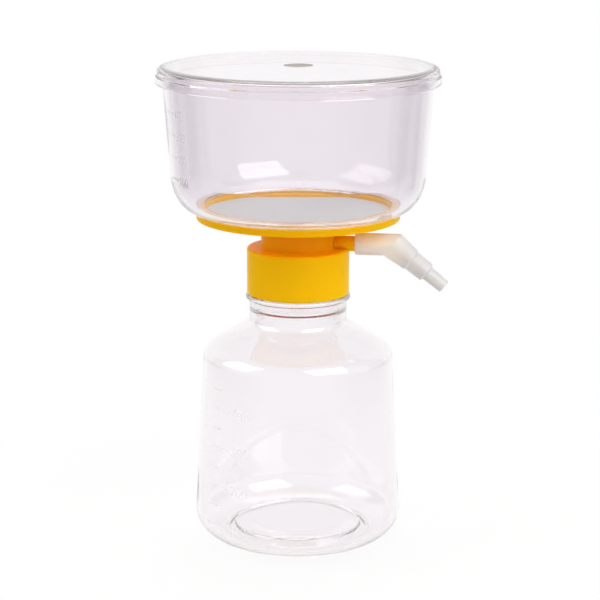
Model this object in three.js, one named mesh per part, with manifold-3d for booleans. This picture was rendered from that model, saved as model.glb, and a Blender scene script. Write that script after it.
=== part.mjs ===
// Vacuum filtration unit for 500 mL of liquid: a clear funnel bonded to a yellow filter head,
// which screws on a clear receiver bottle. A stepped elbow on the side port takes the vacuum hose.
// Millimetres, +Z up. The bottle stands on z = 0 with its axis on the Z axis. The bottle's scale
// faces the front, -Y, and the side port stands between +X and +Y.

import * as THREE from 'three';
import { mergeVertices } from 'three/addons/utils/BufferGeometryUtils.js';
import Module from 'manifold-3d';

const wasm = await Module();
wasm.setup();

// ---- Fits -------------------------------------------------------------------------------
const CONTACT_GAP = 0.3;       // between faces that rest, seal or are bonded on each other
const BOND_GAP = 0.25;         // cement line between funnel and filter head
const SWIVEL_FIT = 0.12;       // radial clearance of the elbow's socket on the side port
const THREAD_CLEARANCE = 0.5;  // from a thread ridge's crest to the other part's root
const OVERCUT = 1;             // how far a cutting bar runs past the face that it opens

// ---- Receiver bottle --------------------------------------------------------------------
const BOTTLE_RADIUS = 46.2;            // at the top of the heel
const BODY_TAPER = 3.9;                // how much narrower the body is at the shoulder
const BOTTLE_SHOULDER_HEIGHT = 82;
const BOTTLE_WALL = 1.6;
const BOTTLE_FLOOR = 1.9;
const HEEL_ROUND = 12;
const STANDING_RING_WIDTH = 2;
const SHOULDER_ROUND = 7;
const SHOULDER_SLOPE = 32;             // degrees above the horizontal
const PUSH_UP_SETBACK = 4.2;           // from the standing ring in to the step in the floor
const PUSH_UP_HEIGHT = 4.6;
const PUSH_UP_STEP = 2.5;
const PUSH_UP_STEP_WIDTH = 2.3;
const FLOOR_RING_WIDTH = 5.7;          // flat ring from the step in to the middle disc
const FLOOR_DISC_HEIGHT = 0.4;         // the middle disc is slightly raised

const FINISH_RADIUS = 19.6;            // root radius of the neck's thread
const FINISH_WALL = 2;
const NECK_STEP = 2.05;                // the neck is this much wider than the thread's root
const NECK_WALL = 2.85;
const NECK_LENGTH = 8.5;
const NECK_FILLET = 3;
const BEAD_OVERHANG = 1.6;             // transfer bead under the collar, beyond the neck
const BEAD_HEIGHT = 2.1;
const BEAD_ROUND = 0.8;
const BORE_STEP_DROP = 4;              // how far the narrow bore reaches below the bead's foot
const LIP_ROUND = 0.5;

// ---- Thread, one turn on the neck and one in the collar ----------------------------------
const THREAD_PITCH = 4;
const THREAD_TURNS = 1;
const THREAD_RIDGE = 1.1;              // radius of the ridge's round section
const THREAD_START = 4.5;              // lowest point of the neck's ridge above the bead

// ---- Filter head -------------------------------------------------------------------------
const COLLAR_WALL = 1.5;
const COLLAR_HEIGHT = 20.6;
const COLLAR_WEB = 1.7;
const COLLAR_ROUND = 1;
const GASKET_THICKNESS = 1.2;
const GASKET_SIDE_GAP = 0.3;
const WAIST_RADIUS = 16.4;             // tube between collar and support plate
const WAIST_HEIGHT = 11.5;
const WAIST_WALL = 1.8;
const WAIST_FILLET = 1;
const RIM_RADIUS = 45.2;
const RIM_DRAFT = 0.3;
const RIM_RISE = 1.7;                  // from the plate's underside to the rim's lower edge
const RIM_HEIGHT = 4.3;
const RIM_WALL = 3.5;                  // from the outside to the plate's opening
const RIM_LEDGE_HEIGHT = 3.1;          // of the ledge that the funnel's lip stands on
const RIM_LEDGE_WIDTH = 1.2;
const RIM_TONGUE_WIDTH = 0.8;          // ring that fills the groove in the funnel's foot
const PLATE_BELLY_SETBACK = 5.3;       // from the opening in to the plate's thicker middle
const PLATE_SLOPE_WIDTH = 3.6;         // of the slope from the middle up to the rim
const SEAT_HEIGHT = 0.7;               // of the membrane's seat above the rim's lower edge
const SEAT_WIDTH = 4.1;
const PLATE_FLOOR = 1.3;               // thickness under the drain channels
const DRAIN_FALL = 0.3;                // the channels' floor falls this much to the spout
const SUPPORT_RING_COUNT = 4;
const SUPPORT_RING_WIDTH = 0.9;
const DRAIN_CHANNEL_COUNT = 8;
const DRAIN_CHANNEL_WIDTH = 2.2;
const SPOUT_RADIUS = 5.2;
const SPOUT_WALL = 1.6;
const SPOUT_LENGTH = 27;
const SPOUT_COUNTERSINK = 0.8;
const PORT_AZIMUTH = 38;               // degrees from +X towards +Y, head screwed home
const PORT_RADIUS = 3.43;
const PORT_SINK = 1.33;                // depth of the port's underside in the collar's top
const AIR_BORE = 2;                    // radius of the way through port and elbow

// ---- Membrane ----------------------------------------------------------------------------
const MEMBRANE_THICKNESS = 0.25;
const MEMBRANE_SIDE_GAP = 0.3;
const MEMBRANE_REST_GAP = 0.15;        // between the membrane and the seat that it lies on

// ---- Funnel ------------------------------------------------------------------------------
const FUNNEL_HEIGHT = 61.85;
const FUNNEL_OVERHANG = 0.2;           // of its foot beyond the filter head's rim
const FUNNEL_CORNER_FLARE = 10.7;      // how far the rounded lower corner widens it
const FUNNEL_TAPER = 3.4;              // how much wider the mouth is than the corner's top
const FUNNEL_CORNER_HEIGHT = 17.55;
const FUNNEL_CORNER_SAG = 0.2;         // the corner's curve would bottom out this much lower
const FUNNEL_WALL = 1.9;               // measured level, so the rounded corner thins downwards
const FUNNEL_WEB = 1.2;                // over the groove in its foot
const FUNNEL_WEB_SETBACK = 0.1;

// ---- Lid ---------------------------------------------------------------------------------
const LID_PLATE = 1.6;
const LID_SKIRT_WALL = 1.6;
const LID_SKIRT_HEIGHT = 7.5;
const LID_FIT = 0.3;
const LID_CROWN_WIDTH = 3;             // rounded edge between the top and the skirt
const LID_CROWN_HEIGHT = 2;
const LID_LIP = 0.7;                   // the skirt's foot stands out this much
const LID_LIP_HEIGHT = 4;
const LID_LIP_SLOPE = 0.6;             // height of the slanted face over it
const LID_LIP_CHAMFER = 0.375;

// ---- Hose connector ----------------------------------------------------------------------
const SLEEVE_WALL = 1.35;
const SLEEVE_TO_COLLAR = 2.9;          // the sleeve's open end stays this far off the collar
const SOCKET_DEPTH = 12;               // length of the port inside the sleeve
const SOCKET_END_GAP = 0.4;
const ELBOW_PAST_PORT = 4.2;           // from the port's end to where the arm's axis leaves
const ARM_SLOPE = 38;                  // degrees below the horizontal
const ARM_STEP_CHAMFER = 0.6;
const ARM_STEPS = [                    // each step starts at the end of the one before
  { length: 10.3, startRadius: 6.0, endRadius: 5.15 },
  { length: 8.9, startRadius: 4.6, endRadius: 4.45 },
  { length: 10.2, startRadius: 3.25, endRadius: 3.0 },
];

// ---- Resolution --------------------------------------------------------------------------
const ROUND_SEGMENTS = 40;
const TUBE_SEGMENTS = 24;
const HELIX_STEPS_PER_TURN = 36;

// ---- Levels and radii worked out from the values above ------------------------------------
const neckRadius = FINISH_RADIUS + NECK_STEP;
const neckBore = neckRadius - NECK_WALL;
const finishBore = FINISH_RADIUS - FINISH_WALL;
const beadRadius = neckRadius + BEAD_OVERHANG;
const collarBore = FINISH_RADIUS + THREAD_RIDGE + THREAD_CLEARANCE;
const collarRadius = collarBore + COLLAR_WALL;

const slope = THREE.MathUtils.degToRad(SHOULDER_SLOPE);
const footRadius = BOTTLE_RADIUS - HEEL_ROUND;
const pushUpRadius = footRadius - STANDING_RING_WIDTH - PUSH_UP_SETBACK;
const floorDiscRadius = pushUpRadius - PUSH_UP_STEP_WIDTH - FLOOR_RING_WIDTH;
const shoulderArcCentre = BOTTLE_RADIUS - BODY_TAPER - SHOULDER_ROUND;
const shoulderArcEnd = {
  r: shoulderArcCentre + SHOULDER_ROUND * Math.sin(slope),
  z: BOTTLE_SHOULDER_HEIGHT + SHOULDER_ROUND * Math.cos(slope),
};
const neckFilletFoot = neckRadius + NECK_FILLET - NECK_FILLET * Math.sin(slope);
const neckFilletLevel = shoulderArcEnd.z + (shoulderArcEnd.r - neckFilletFoot) * Math.tan(slope)
  + NECK_FILLET * Math.cos(slope);
const beadBottom = neckFilletLevel + NECK_LENGTH;
const beadTop = beadBottom + BEAD_HEIGHT;
const collarBottom = beadTop + CONTACT_GAP;
const collarTop = collarBottom + COLLAR_HEIGHT;
const webUnderside = collarTop - COLLAR_WEB;
const gasketTop = webUnderside - CONTACT_GAP;
const gasketBottom = gasketTop - GASKET_THICKNESS;
const lipTop = gasketBottom - CONTACT_GAP;

const plateUnderside = collarTop + WAIST_HEIGHT;
const rimBottom = plateUnderside + RIM_RISE;
const membraneSeat = rimBottom + SEAT_HEIGHT;
const rimLedge = rimBottom + RIM_LEDGE_HEIGHT;
const rimTop = rimBottom + RIM_HEIGHT;
const ledgeInnerRadius = RIM_RADIUS - RIM_LEDGE_WIDTH;
const tongueInnerRadius = ledgeInnerRadius - RIM_TONGUE_WIDTH;
const plateOpening = RIM_RADIUS - RIM_WALL;
const seatInnerRadius = plateOpening - SEAT_WIDTH;
const bellyRadius = plateOpening - PLATE_BELLY_SETBACK;
const waistBore = WAIST_RADIUS - WAIST_WALL;
const spoutBore = SPOUT_RADIUS - SPOUT_WALL;
const drainFloor = plateUnderside + PLATE_FLOOR;
const membraneBottom = membraneSeat + MEMBRANE_REST_GAP;
const membraneRadius = plateOpening - MEMBRANE_SIDE_GAP;

const funnelBottom = rimLedge + BOND_GAP;
const funnelTop = funnelBottom + FUNNEL_HEIGHT;
const funnelCornerTop = funnelBottom + FUNNEL_CORNER_HEIGHT;
const funnelWebBottom = rimTop + BOND_GAP;
const funnelFootRadius = RIM_RADIUS + FUNNEL_OVERHANG;
const funnelCornerRadius = funnelFootRadius + FUNNEL_CORNER_FLARE;
const funnelMouthRadius = funnelCornerRadius + FUNNEL_TAPER;

const lidUnderside = funnelTop + CONTACT_GAP;
const lidTop = lidUnderside + LID_PLATE;
const lidBottom = lidTop - LID_SKIRT_HEIGHT;
const lidBore = funnelMouthRadius + LID_FIT;
const lidRadius = lidBore + LID_SKIRT_WALL;

const portLevel = collarTop + PORT_RADIUS - PORT_SINK;
const socketRadius = PORT_RADIUS + SWIVEL_FIT;
const sleeveRadius = socketRadius + SLEEVE_WALL;
const sleeveStart = collarRadius + SLEEVE_TO_COLLAR;
const portEnd = sleeveStart + SOCKET_DEPTH;
const socketEnd = portEnd + SOCKET_END_GAP;
const elbowReach = portEnd + ELBOW_PAST_PORT;

// ---- Helpers -----------------------------------------------------------------------------

// Points [r, z] on a round or elliptical arc, angles in degrees from +r towards +z.
function arc(centreR, centreZ, radiusR, radiusZ, fromDeg, toDeg, steps) {
  const points = [];
  for (let i = 0; i <= steps; i += 1) {
    const angle = THREE.MathUtils.degToRad(fromDeg + ((toDeg - fromDeg) * i) / steps);
    points.push([centreR + radiusR * Math.cos(angle), centreZ + radiusZ * Math.sin(angle)]);
  }
  return points;
}

// A closed body of revolution about Z. The outline lists [r, z] with the material on its left:
// it starts and ends on the axis, or its last point joins its first.
function turned(outline, segments = ROUND_SEGMENTS) {
  const points = outline.map(([r, z]) => new THREE.Vector2(Math.max(r, 0), z));
  const onAxis = points[0].x === 0 && points[points.length - 1].x === 0;
  if (!onAxis) points.push(points[0].clone());
  const geometry = new THREE.LatheGeometry(points, segments);
  geometry.rotateX(Math.PI / 2);
  return solid(geometry);
}

// A manifold solid from a closed three.js geometry.
function solid(geometry) {
  geometry.deleteAttribute('normal');
  geometry.deleteAttribute('uv');
  const merged = mergeVertices(geometry, 1e-5);
  const index = merged.index.array;
  const kept = [];
  for (let i = 0; i < index.length; i += 3) {
    const [a, b, c] = [index[i], index[i + 1], index[i + 2]];
    if (a !== b && b !== c && c !== a) kept.push(a, b, c);
  }
  return new wasm.Manifold(new wasm.Mesh({
    numProp: 3,
    vertProperties: Float32Array.from(merged.attributes.position.array),
    triVerts: Uint32Array.from(kept),
  }));
}

// A straight round bar along Z from z0 to z1.
function bar(radius, z0, z1, segments = TUBE_SEGMENTS) {
  return turned([[0, z0], [radius, z0], [radius, z1], [0, z1]], segments);
}

// Lays a body made along Z down on the side port's axis, with its origin on the unit's axis.
function layOnPort(body) {
  return body.rotate([0, 90, 0]).translate([0, 0, portLevel]).rotate([0, 0, PORT_AZIMUTH]);
}

function named(name, body, look) {
  const mesh = body.getMesh();
  const geometry = new THREE.BufferGeometry();
  geometry.setAttribute('position', new THREE.BufferAttribute(Float32Array.from(mesh.vertProperties), 3));
  geometry.setIndex(Array.from(mesh.triVerts));
  geometry.computeVertexNormals();
  const part = new THREE.Mesh(geometry, new THREE.MeshStandardMaterial(look));
  part.name = name;
  return part;
}

// A right-handed helix about Z.
class Helix extends THREE.Curve {
  constructor(radius, startLevel, turns) {
    super();
    Object.assign(this, { radius, startLevel, turns });
  }

  getPoint(t, target = new THREE.Vector3()) {
    const turn = t * this.turns;
    const angle = 2 * Math.PI * turn;
    return target.set(
      this.radius * Math.cos(angle),
      this.radius * Math.sin(angle),
      this.startLevel + THREAD_PITCH * turn,
    );
  }
}

function threadRidge(radius, startLevel) {
  const section = new THREE.Shape().absarc(0, 0, THREAD_RIDGE, 0, 2 * Math.PI, false);
  return solid(new THREE.ExtrudeGeometry(section, {
    steps: Math.round(HELIX_STEPS_PER_TURN * THREAD_TURNS),
    curveSegments: 5,
    extrudePath: new Helix(radius, startLevel, THREAD_TURNS),
  }));
}

// ---- Receiver bottle: one clear moulding ---------------------------------------------------

function bottleOutside() {
  const round = 90 - SHOULDER_SLOPE;
  return [
    [0, PUSH_UP_HEIGHT + FLOOR_DISC_HEIGHT],
    [floorDiscRadius - FLOOR_DISC_HEIGHT, PUSH_UP_HEIGHT + FLOOR_DISC_HEIGHT],
    [floorDiscRadius, PUSH_UP_HEIGHT],
    [pushUpRadius - PUSH_UP_STEP_WIDTH, PUSH_UP_HEIGHT],
    [pushUpRadius, PUSH_UP_HEIGHT - PUSH_UP_STEP],
    [footRadius - STANDING_RING_WIDTH, 0],
    ...arc(footRadius, HEEL_ROUND, HEEL_ROUND, HEEL_ROUND, -90, 0, 7),
    ...arc(shoulderArcCentre, BOTTLE_SHOULDER_HEIGHT, SHOULDER_ROUND, SHOULDER_ROUND, 0, round, 4),
    ...arc(neckRadius + NECK_FILLET, neckFilletLevel, NECK_FILLET, NECK_FILLET, 180 + round, 180, 4),
    [neckRadius, beadBottom],
    [beadRadius - BEAD_ROUND, beadBottom],
    ...arc(beadRadius - BEAD_ROUND, beadBottom + BEAD_HEIGHT / 2, BEAD_ROUND, BEAD_HEIGHT / 2, -60, 60, 4),
    [beadRadius - BEAD_ROUND, beadTop],
    [FINISH_RADIUS, beadTop],
    [FINISH_RADIUS, lipTop - LIP_ROUND],
    [FINISH_RADIUS - LIP_ROUND, lipTop],
  ];
}

function bottleInside() {
  const round = 90 - SHOULDER_SLOPE;
  const neckWall = neckRadius - neckBore;
  const heel = HEEL_ROUND - BOTTLE_FLOOR;
  const boreStep = beadBottom - BORE_STEP_DROP;
  const stepShift = BOTTLE_FLOOR / 4;   // keeps the wall of the slanted step even
  return [
    [finishBore + LIP_ROUND, lipTop],
    [finishBore, lipTop - LIP_ROUND],
    [finishBore, boreStep],
    [neckBore, boreStep - (neckBore - finishBore)],
    ...arc(
      neckRadius + NECK_FILLET, neckFilletLevel,
      NECK_FILLET + neckWall, NECK_FILLET + neckWall, 180, 180 + round, 4,
    ),
    ...arc(
      shoulderArcCentre, BOTTLE_SHOULDER_HEIGHT,
      SHOULDER_ROUND - BOTTLE_WALL, SHOULDER_ROUND - BOTTLE_WALL, round, 0, 4,
    ),
    ...arc(footRadius, HEEL_ROUND, HEEL_ROUND - BOTTLE_WALL, heel, 0, -90, 6),
    [pushUpRadius + stepShift, PUSH_UP_HEIGHT - PUSH_UP_STEP + BOTTLE_FLOOR],
    [pushUpRadius - PUSH_UP_STEP_WIDTH + stepShift, PUSH_UP_HEIGHT + BOTTLE_FLOOR],
    [floorDiscRadius + FLOOR_DISC_HEIGHT, PUSH_UP_HEIGHT + BOTTLE_FLOOR],
    [floorDiscRadius, PUSH_UP_HEIGHT + FLOOR_DISC_HEIGHT + BOTTLE_FLOOR],
    [0, PUSH_UP_HEIGHT + FLOOR_DISC_HEIGHT + BOTTLE_FLOOR],
  ];
}

function receiverBottle() {
  return turned([...bottleOutside(), ...bottleInside()])
    .add(threadRidge(FINISH_RADIUS, beadTop + THREAD_START));
}

// ---- Sealing gasket: flat ring between the bottle's lip and the collar's web ----------------

function sealingGasket() {
  const outer = collarBore - GASKET_SIDE_GAP;
  return turned([
    [finishBore, gasketBottom], [outer, gasketBottom],
    [outer, gasketTop], [finishBore, gasketTop],
  ]);
}

// ---- Filter head: collar, waist, support plate, spout and side port in one moulding ---------

function headBody() {
  const collarArc = collarRadius - COLLAR_ROUND;
  return turned([
    [collarBore + COLLAR_ROUND / 2, collarBottom],
    ...arc(collarArc, collarBottom + COLLAR_ROUND, COLLAR_ROUND, COLLAR_ROUND, -90, 0, 3),
    ...arc(collarArc, collarTop - COLLAR_ROUND, COLLAR_ROUND, COLLAR_ROUND, 0, 90, 3),
    ...arc(
      WAIST_RADIUS + WAIST_FILLET, collarTop + WAIST_FILLET,
      WAIST_FILLET, WAIST_FILLET, 270, 180, 2,
    ),
    ...arc(
      WAIST_RADIUS + WAIST_FILLET, plateUnderside - WAIST_FILLET,
      WAIST_FILLET, WAIST_FILLET, 180, 90, 2,
    ),
    [bellyRadius, plateUnderside],
    [bellyRadius + PLATE_SLOPE_WIDTH, rimBottom],
    [RIM_RADIUS - RIM_DRAFT, rimBottom],
    [RIM_RADIUS, rimLedge],
    [ledgeInnerRadius, rimLedge],
    [ledgeInnerRadius, rimTop],
    [tongueInnerRadius, rimTop],
    [tongueInnerRadius, rimLedge],
    [plateOpening, rimLedge],
    [plateOpening, membraneSeat],
    [seatInnerRadius, membraneSeat],
    [seatInnerRadius, drainFloor + DRAIN_FALL],
    [SPOUT_RADIUS, drainFloor],
    [spoutBore, drainFloor - SPOUT_COUNTERSINK],
    [spoutBore, plateUnderside - SPOUT_LENGTH],
    [SPOUT_RADIUS, plateUnderside - SPOUT_LENGTH],
    [SPOUT_RADIUS, plateUnderside],
    [waistBore, plateUnderside],
    [waistBore, webUnderside],
    [collarBore, webUnderside],
    [collarBore, collarBottom + COLLAR_ROUND / 2],
  ]);
}

// Low rings that carry the membrane, with straight channels across them to the spout.
function membraneSupport() {
  const outermost = seatInnerRadius;
  const spacing = (outermost - SPOUT_RADIUS) / (SUPPORT_RING_COUNT + 1);
  const foot = drainFloor - PLATE_FLOOR / 2;
  let rings = null;
  for (let i = 1; i <= SUPPORT_RING_COUNT; i += 1) {
    const inner = SPOUT_RADIUS + spacing * i - SUPPORT_RING_WIDTH / 2;
    const outer = inner + SUPPORT_RING_WIDTH;
    const ring = turned([
      [inner, foot], [outer, foot], [outer, membraneSeat], [inner, membraneSeat],
    ]);
    rings = rings ? rings.add(ring) : ring;
  }
  const height = membraneSeat - foot;
  for (let i = 0; i < DRAIN_CHANNEL_COUNT / 2; i += 1) {
    const across = new THREE.BoxGeometry(2 * outermost, DRAIN_CHANNEL_WIDTH, 2 * height);
    across.translate(0, 0, membraneSeat);
    rings = rings.subtract(solid(across).rotate([0, 0, (i * 360) / DRAIN_CHANNEL_COUNT]));
  }
  return rings;
}

function filterHead() {
  const port = layOnPort(bar(PORT_RADIUS, waistBore + WAIST_WALL / 2, portEnd));
  const portBore = layOnPort(bar(AIR_BORE, waistBore - OVERCUT, portEnd + OVERCUT));
  return headBody()
    .add(membraneSupport())
    .add(port)
    .subtract(portBore)
    .add(threadRidge(collarBore, beadTop + THREAD_START - THREAD_PITCH / 2));
}

// ---- Membrane: thin round filter ------------------------------------------------------------

function membrane() {
  return bar(membraneRadius, membraneBottom, membraneBottom + MEMBRANE_THICKNESS, ROUND_SEGMENTS);
}

// ---- Funnel: clear upper reservoir, the groove in its foot over the filter head's tongue ------

function funnel() {
  const cornerCurve = FUNNEL_CORNER_HEIGHT + FUNNEL_CORNER_SAG;
  // How far along the corner's quarter ellipse the foot lies, and the ellipse's half width.
  const footAngle = Math.asin(FUNNEL_CORNER_HEIGHT / cornerCurve);
  const cornerWidth = (funnelCornerRadius - funnelFootRadius) / (1 - Math.cos(footAngle));
  const centre = funnelCornerRadius - cornerWidth;
  const webTop = funnelWebBottom + FUNNEL_WEB;
  const webAngle = Math.asin((funnelCornerTop - webTop) / cornerCurve);
  const grooveOuter = ledgeInnerRadius + BOND_GAP;
  const grooveInner = tongueInnerRadius - BOND_GAP;
  const mouth = plateOpening + FUNNEL_WEB_SETBACK;
  return turned([
    [grooveOuter, funnelBottom],
    ...arc(
      centre, funnelCornerTop, cornerWidth, cornerCurve,
      -THREE.MathUtils.radToDeg(footAngle), 0, 8,
    ),
    [funnelMouthRadius, funnelTop],
    [funnelMouthRadius - FUNNEL_WALL, funnelTop],
    ...arc(
      centre - FUNNEL_WALL, funnelCornerTop, cornerWidth, cornerCurve,
      0, -THREE.MathUtils.radToDeg(webAngle), 7,
    ),
    [mouth, webTop],
    [mouth, funnelBottom],
    [grooveInner, funnelBottom],
    [grooveInner, funnelWebBottom],
    [grooveOuter, funnelWebBottom],
  ]);
}

// ---- Lid: shallow clear cover ---------------------------------------------------------------

function lid() {
  const lipRadius = lidRadius + LID_LIP;
  return turned([
    [0, lidUnderside],
    [lidBore, lidUnderside],
    [lidBore, lidBottom],
    [lipRadius - LID_LIP_CHAMFER, lidBottom],
    [lipRadius, lidBottom + LID_LIP_CHAMFER],
    [lipRadius, lidBottom + LID_LIP_HEIGHT - LID_LIP_SLOPE],
    [lidRadius, lidBottom + LID_LIP_HEIGHT],
    ...arc(
      lidRadius - LID_CROWN_WIDTH, lidTop - LID_CROWN_HEIGHT,
      LID_CROWN_WIDTH, LID_CROWN_HEIGHT, 0, 90, 5,
    ),
    [0, lidTop],
  ]);
}

// ---- Hose connector: translucent elbow with a stepped, bored arm -----------------------------

// The arm along Z from 0, before it is tilted.
function arm() {
  const outline = [[0, 0]];
  let end = 0;
  for (const step of ARM_STEPS) {
    const first = end === 0;
    outline.push([step.startRadius, first ? 0 : end + ARM_STEP_CHAMFER]);
    end += step.length;
    outline.push([step.endRadius, end]);
  }
  outline.push([0, end]);
  return turned(outline, TUBE_SEGMENTS);
}

function armLength() {
  return ARM_STEPS.reduce((sum, step) => sum + step.length, 0);
}

// Tilts the arm down and moves its start to the elbow.
function tilt(body) {
  return layOnPort(body.rotate([0, ARM_SLOPE, 0]).translate([0, 0, elbowReach]));
}

function hoseConnector() {
  const knee = turned(arc(0, 0, sleeveRadius, sleeveRadius, -90, 90, 12), TUBE_SEGMENTS);
  const kneeBore = turned(arc(0, 0, AIR_BORE, AIR_BORE, -90, 90, 8), TUBE_SEGMENTS);
  const outside = layOnPort(bar(sleeveRadius, sleeveStart, elbowReach))
    .add(layOnPort(knee.translate([0, 0, elbowReach])))
    .add(tilt(arm()));
  return outside
    .subtract(layOnPort(bar(socketRadius, sleeveStart - OVERCUT, socketEnd)))
    .subtract(layOnPort(bar(AIR_BORE, socketEnd - OVERCUT, elbowReach)))
    .subtract(layOnPort(kneeBore.translate([0, 0, elbowReach])))
    .subtract(tilt(bar(AIR_BORE, 0, armLength() + OVERCUT)));
}

// ---- Assembly -------------------------------------------------------------------------------

const CLEAR = { color: 0xeae6ee, roughness: 0.05, metalness: 0, transparent: true, opacity: 0.35 };
const YELLOW = { color: 0xfcb905, roughness: 0.3, metalness: 0 };
const PAPER_WHITE = { color: 0xd2d2d4, roughness: 0.9, metalness: 0 };
const MILKY = { color: 0xd9c9b8, roughness: 0.35, metalness: 0, transparent: true, opacity: 0.8 };
const SEAL = { color: 0xe9e7e2, roughness: 0.7, metalness: 0 };

const unit = new THREE.Group();
unit.name = 'vacuum_filtration_unit';
unit.add(
  named('receiver_bottle', receiverBottle(), CLEAR),
  named('sealing_gasket', sealingGasket(), SEAL),
  named('filter_head', filterHead(), YELLOW),
  named('membrane', membrane(), PAPER_WHITE),
  named('funnel', funnel(), CLEAR),
  named('lid', lid(), CLEAR),
  named('hose_connector', hoseConnector(), MILKY),
);

export default unit;
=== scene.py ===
"""Vacuum filtration unit: the finished surfaces of its bottle, filter head, funnel, lid and elbow.

Every shape is worked out with numpy as a surface on a grid of two parameters, in metres, in the frame
of the packed model: +Z up along the unit's axis, -Y the front, which the bottle's scale faces.
"""

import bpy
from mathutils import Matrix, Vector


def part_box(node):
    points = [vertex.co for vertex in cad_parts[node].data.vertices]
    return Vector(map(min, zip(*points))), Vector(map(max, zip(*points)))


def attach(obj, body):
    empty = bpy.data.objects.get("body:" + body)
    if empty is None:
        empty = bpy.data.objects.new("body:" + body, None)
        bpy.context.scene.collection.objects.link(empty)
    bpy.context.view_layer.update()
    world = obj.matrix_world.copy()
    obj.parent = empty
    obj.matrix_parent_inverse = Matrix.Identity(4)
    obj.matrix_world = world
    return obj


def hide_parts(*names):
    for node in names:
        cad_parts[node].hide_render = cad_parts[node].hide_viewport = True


bl_info = {
    "name": "Vacuum Filtration Unit",
    "version": (1, 0, 0),
    "blender": (4, 5, 0),
    "location": "3D View > Sidebar > Filtration",
    "description": "Makes a bottle-top filtration unit with its receiver bottle, and a plain studio",
    "category": "Add Mesh",
}

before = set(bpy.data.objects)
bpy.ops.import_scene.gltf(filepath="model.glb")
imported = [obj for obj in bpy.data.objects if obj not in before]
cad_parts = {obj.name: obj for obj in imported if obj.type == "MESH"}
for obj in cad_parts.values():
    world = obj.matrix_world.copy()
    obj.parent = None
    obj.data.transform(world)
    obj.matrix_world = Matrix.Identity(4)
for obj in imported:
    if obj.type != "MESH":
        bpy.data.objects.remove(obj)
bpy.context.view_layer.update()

from math import acos, asin, ceil, cos, degrees, pi, radians, sin, tan

import bpy
import numpy as np
from bpy.props import FloatProperty, FloatVectorProperty, IntProperty, PointerProperty
from mathutils import Matrix, Vector

LIP_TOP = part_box("receiver_bottle")[1].z
BOTTLE_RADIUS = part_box("receiver_bottle")[1].x
COLLAR_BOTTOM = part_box("filter_head")[0].z
RIM_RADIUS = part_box("filter_head")[1].x
RIM_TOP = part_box("filter_head")[1].z
FUNNEL_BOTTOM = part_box("funnel")[0].z
FUNNEL_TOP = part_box("funnel")[1].z
FUNNEL_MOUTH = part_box("funnel")[1].x
LID_BOTTOM, LID_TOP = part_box("lid")[0].z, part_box("lid")[1].z
LID_LIP_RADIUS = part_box("lid")[1].x
MEMBRANE_LOW, MEMBRANE_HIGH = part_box("membrane")
GASKET_LOW, GASKET_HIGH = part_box("sealing_gasket")


# ---- Properties ---------------------------------------------------------------------------


def size(name, description, default):
    """A length in metres."""
    return FloatProperty(name=name, description=description, default=default, unit="LENGTH", precision=5)


def angle(name, description, default):
    """An angle, given in degrees and kept in radians."""
    return FloatProperty(name=name, description=description, default=radians(default), unit="ROTATION")


def share(name, description, default):
    """A plain number without a unit."""
    return FloatProperty(name=name, description=description, default=default, precision=4)


def colour(name, description, default):
    """A linear colour."""
    return FloatVectorProperty(
        name=name, description=description, default=default, subtype="COLOR", size=3, min=0, max=1
    )


class BottleSizes(bpy.types.PropertyGroup):
    """Sizes of the receiver bottle."""

    taper: size("Body taper", "How much narrower the body is at the shoulder", 0.0039)
    shoulder_height: size("Shoulder height", "Level of the shoulder's foot", 0.082)
    wall: size("Wall", "Thickness of the body's wall", 0.0016)
    floor: size("Floor", "Thickness of the floor", 0.0019)
    heel: size("Heel round", "Radius of the round between foot and wall", 0.012)
    ring: size("Standing ring", "Width of the flat ring that the bottle stands on", 0.002)
    shoulder_round: size("Shoulder round", "Radius between wall and shoulder", 0.007)
    slope: angle("Shoulder slope", "Slope of the shoulder above the horizontal", 32)
    push_up_setback: size("Push-up setback", "From the standing ring in to the floor's edge", 0.0042)
    push_up: size("Push-up height", "Height of the floor's middle", 0.0047)
    step: size("Step height", "The floor falls this much to its edge", 0.0026)
    slope_width: size("Slope width", "Width of the round slope about the flat middle", 0.008)
    neck_step: size("Neck step", "The neck is this much wider than the thread's root", 0.00205)
    neck_wall: size("Neck wall", "Wall of the plain neck", 0.00285)
    neck_fillet: size("Neck fillet", "Radius between shoulder and neck", 0.003)
    bead_overhang: size("Bead overhang", "The bead stands out from the neck this much", 0.0016)
    bead_height: size("Bead height", "Height of the transfer bead", 0.0021)
    bead_round: size("Bead round", "Half width of the bead's round edge", 0.0008)
    finish: size("Finish radius", "Root radius of the neck's thread", 0.0196)
    finish_wall: size("Finish wall", "Wall of the threaded neck", 0.002)
    bore_step: size("Bore step", "The narrow bore reaches this far below the bead", 0.004)
    contact_gap: size("Contact gap", "Between the bead and the collar above it", 0.0003)
    wave: size("Wall wave", "Unevenness of the inside of the moulded wall", 0.00009)
    nub: size("Nub", "Height of the two nubs on the floor's edge", 0.0006)
    first_nub: angle("First nub", "Direction of the first nub", -61.1287)
    second_nub: angle("Second nub", "Direction of the second nub", -29.0431)


class ThreadSizes(bpy.types.PropertyGroup):
    """Sizes of the neck thread and of the thread inside the collar."""

    pitch: size("Pitch", "Rise of the thread in one turn", 0.004)
    ridge: size("Ridge", "Radius of the ridge's round section", 0.0011)
    clearance: size("Clearance", "From a crest to the other part's root", 0.0005)
    start: size("Start", "Lowest point of the neck's ridge above the bead", 0.0045)


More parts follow.
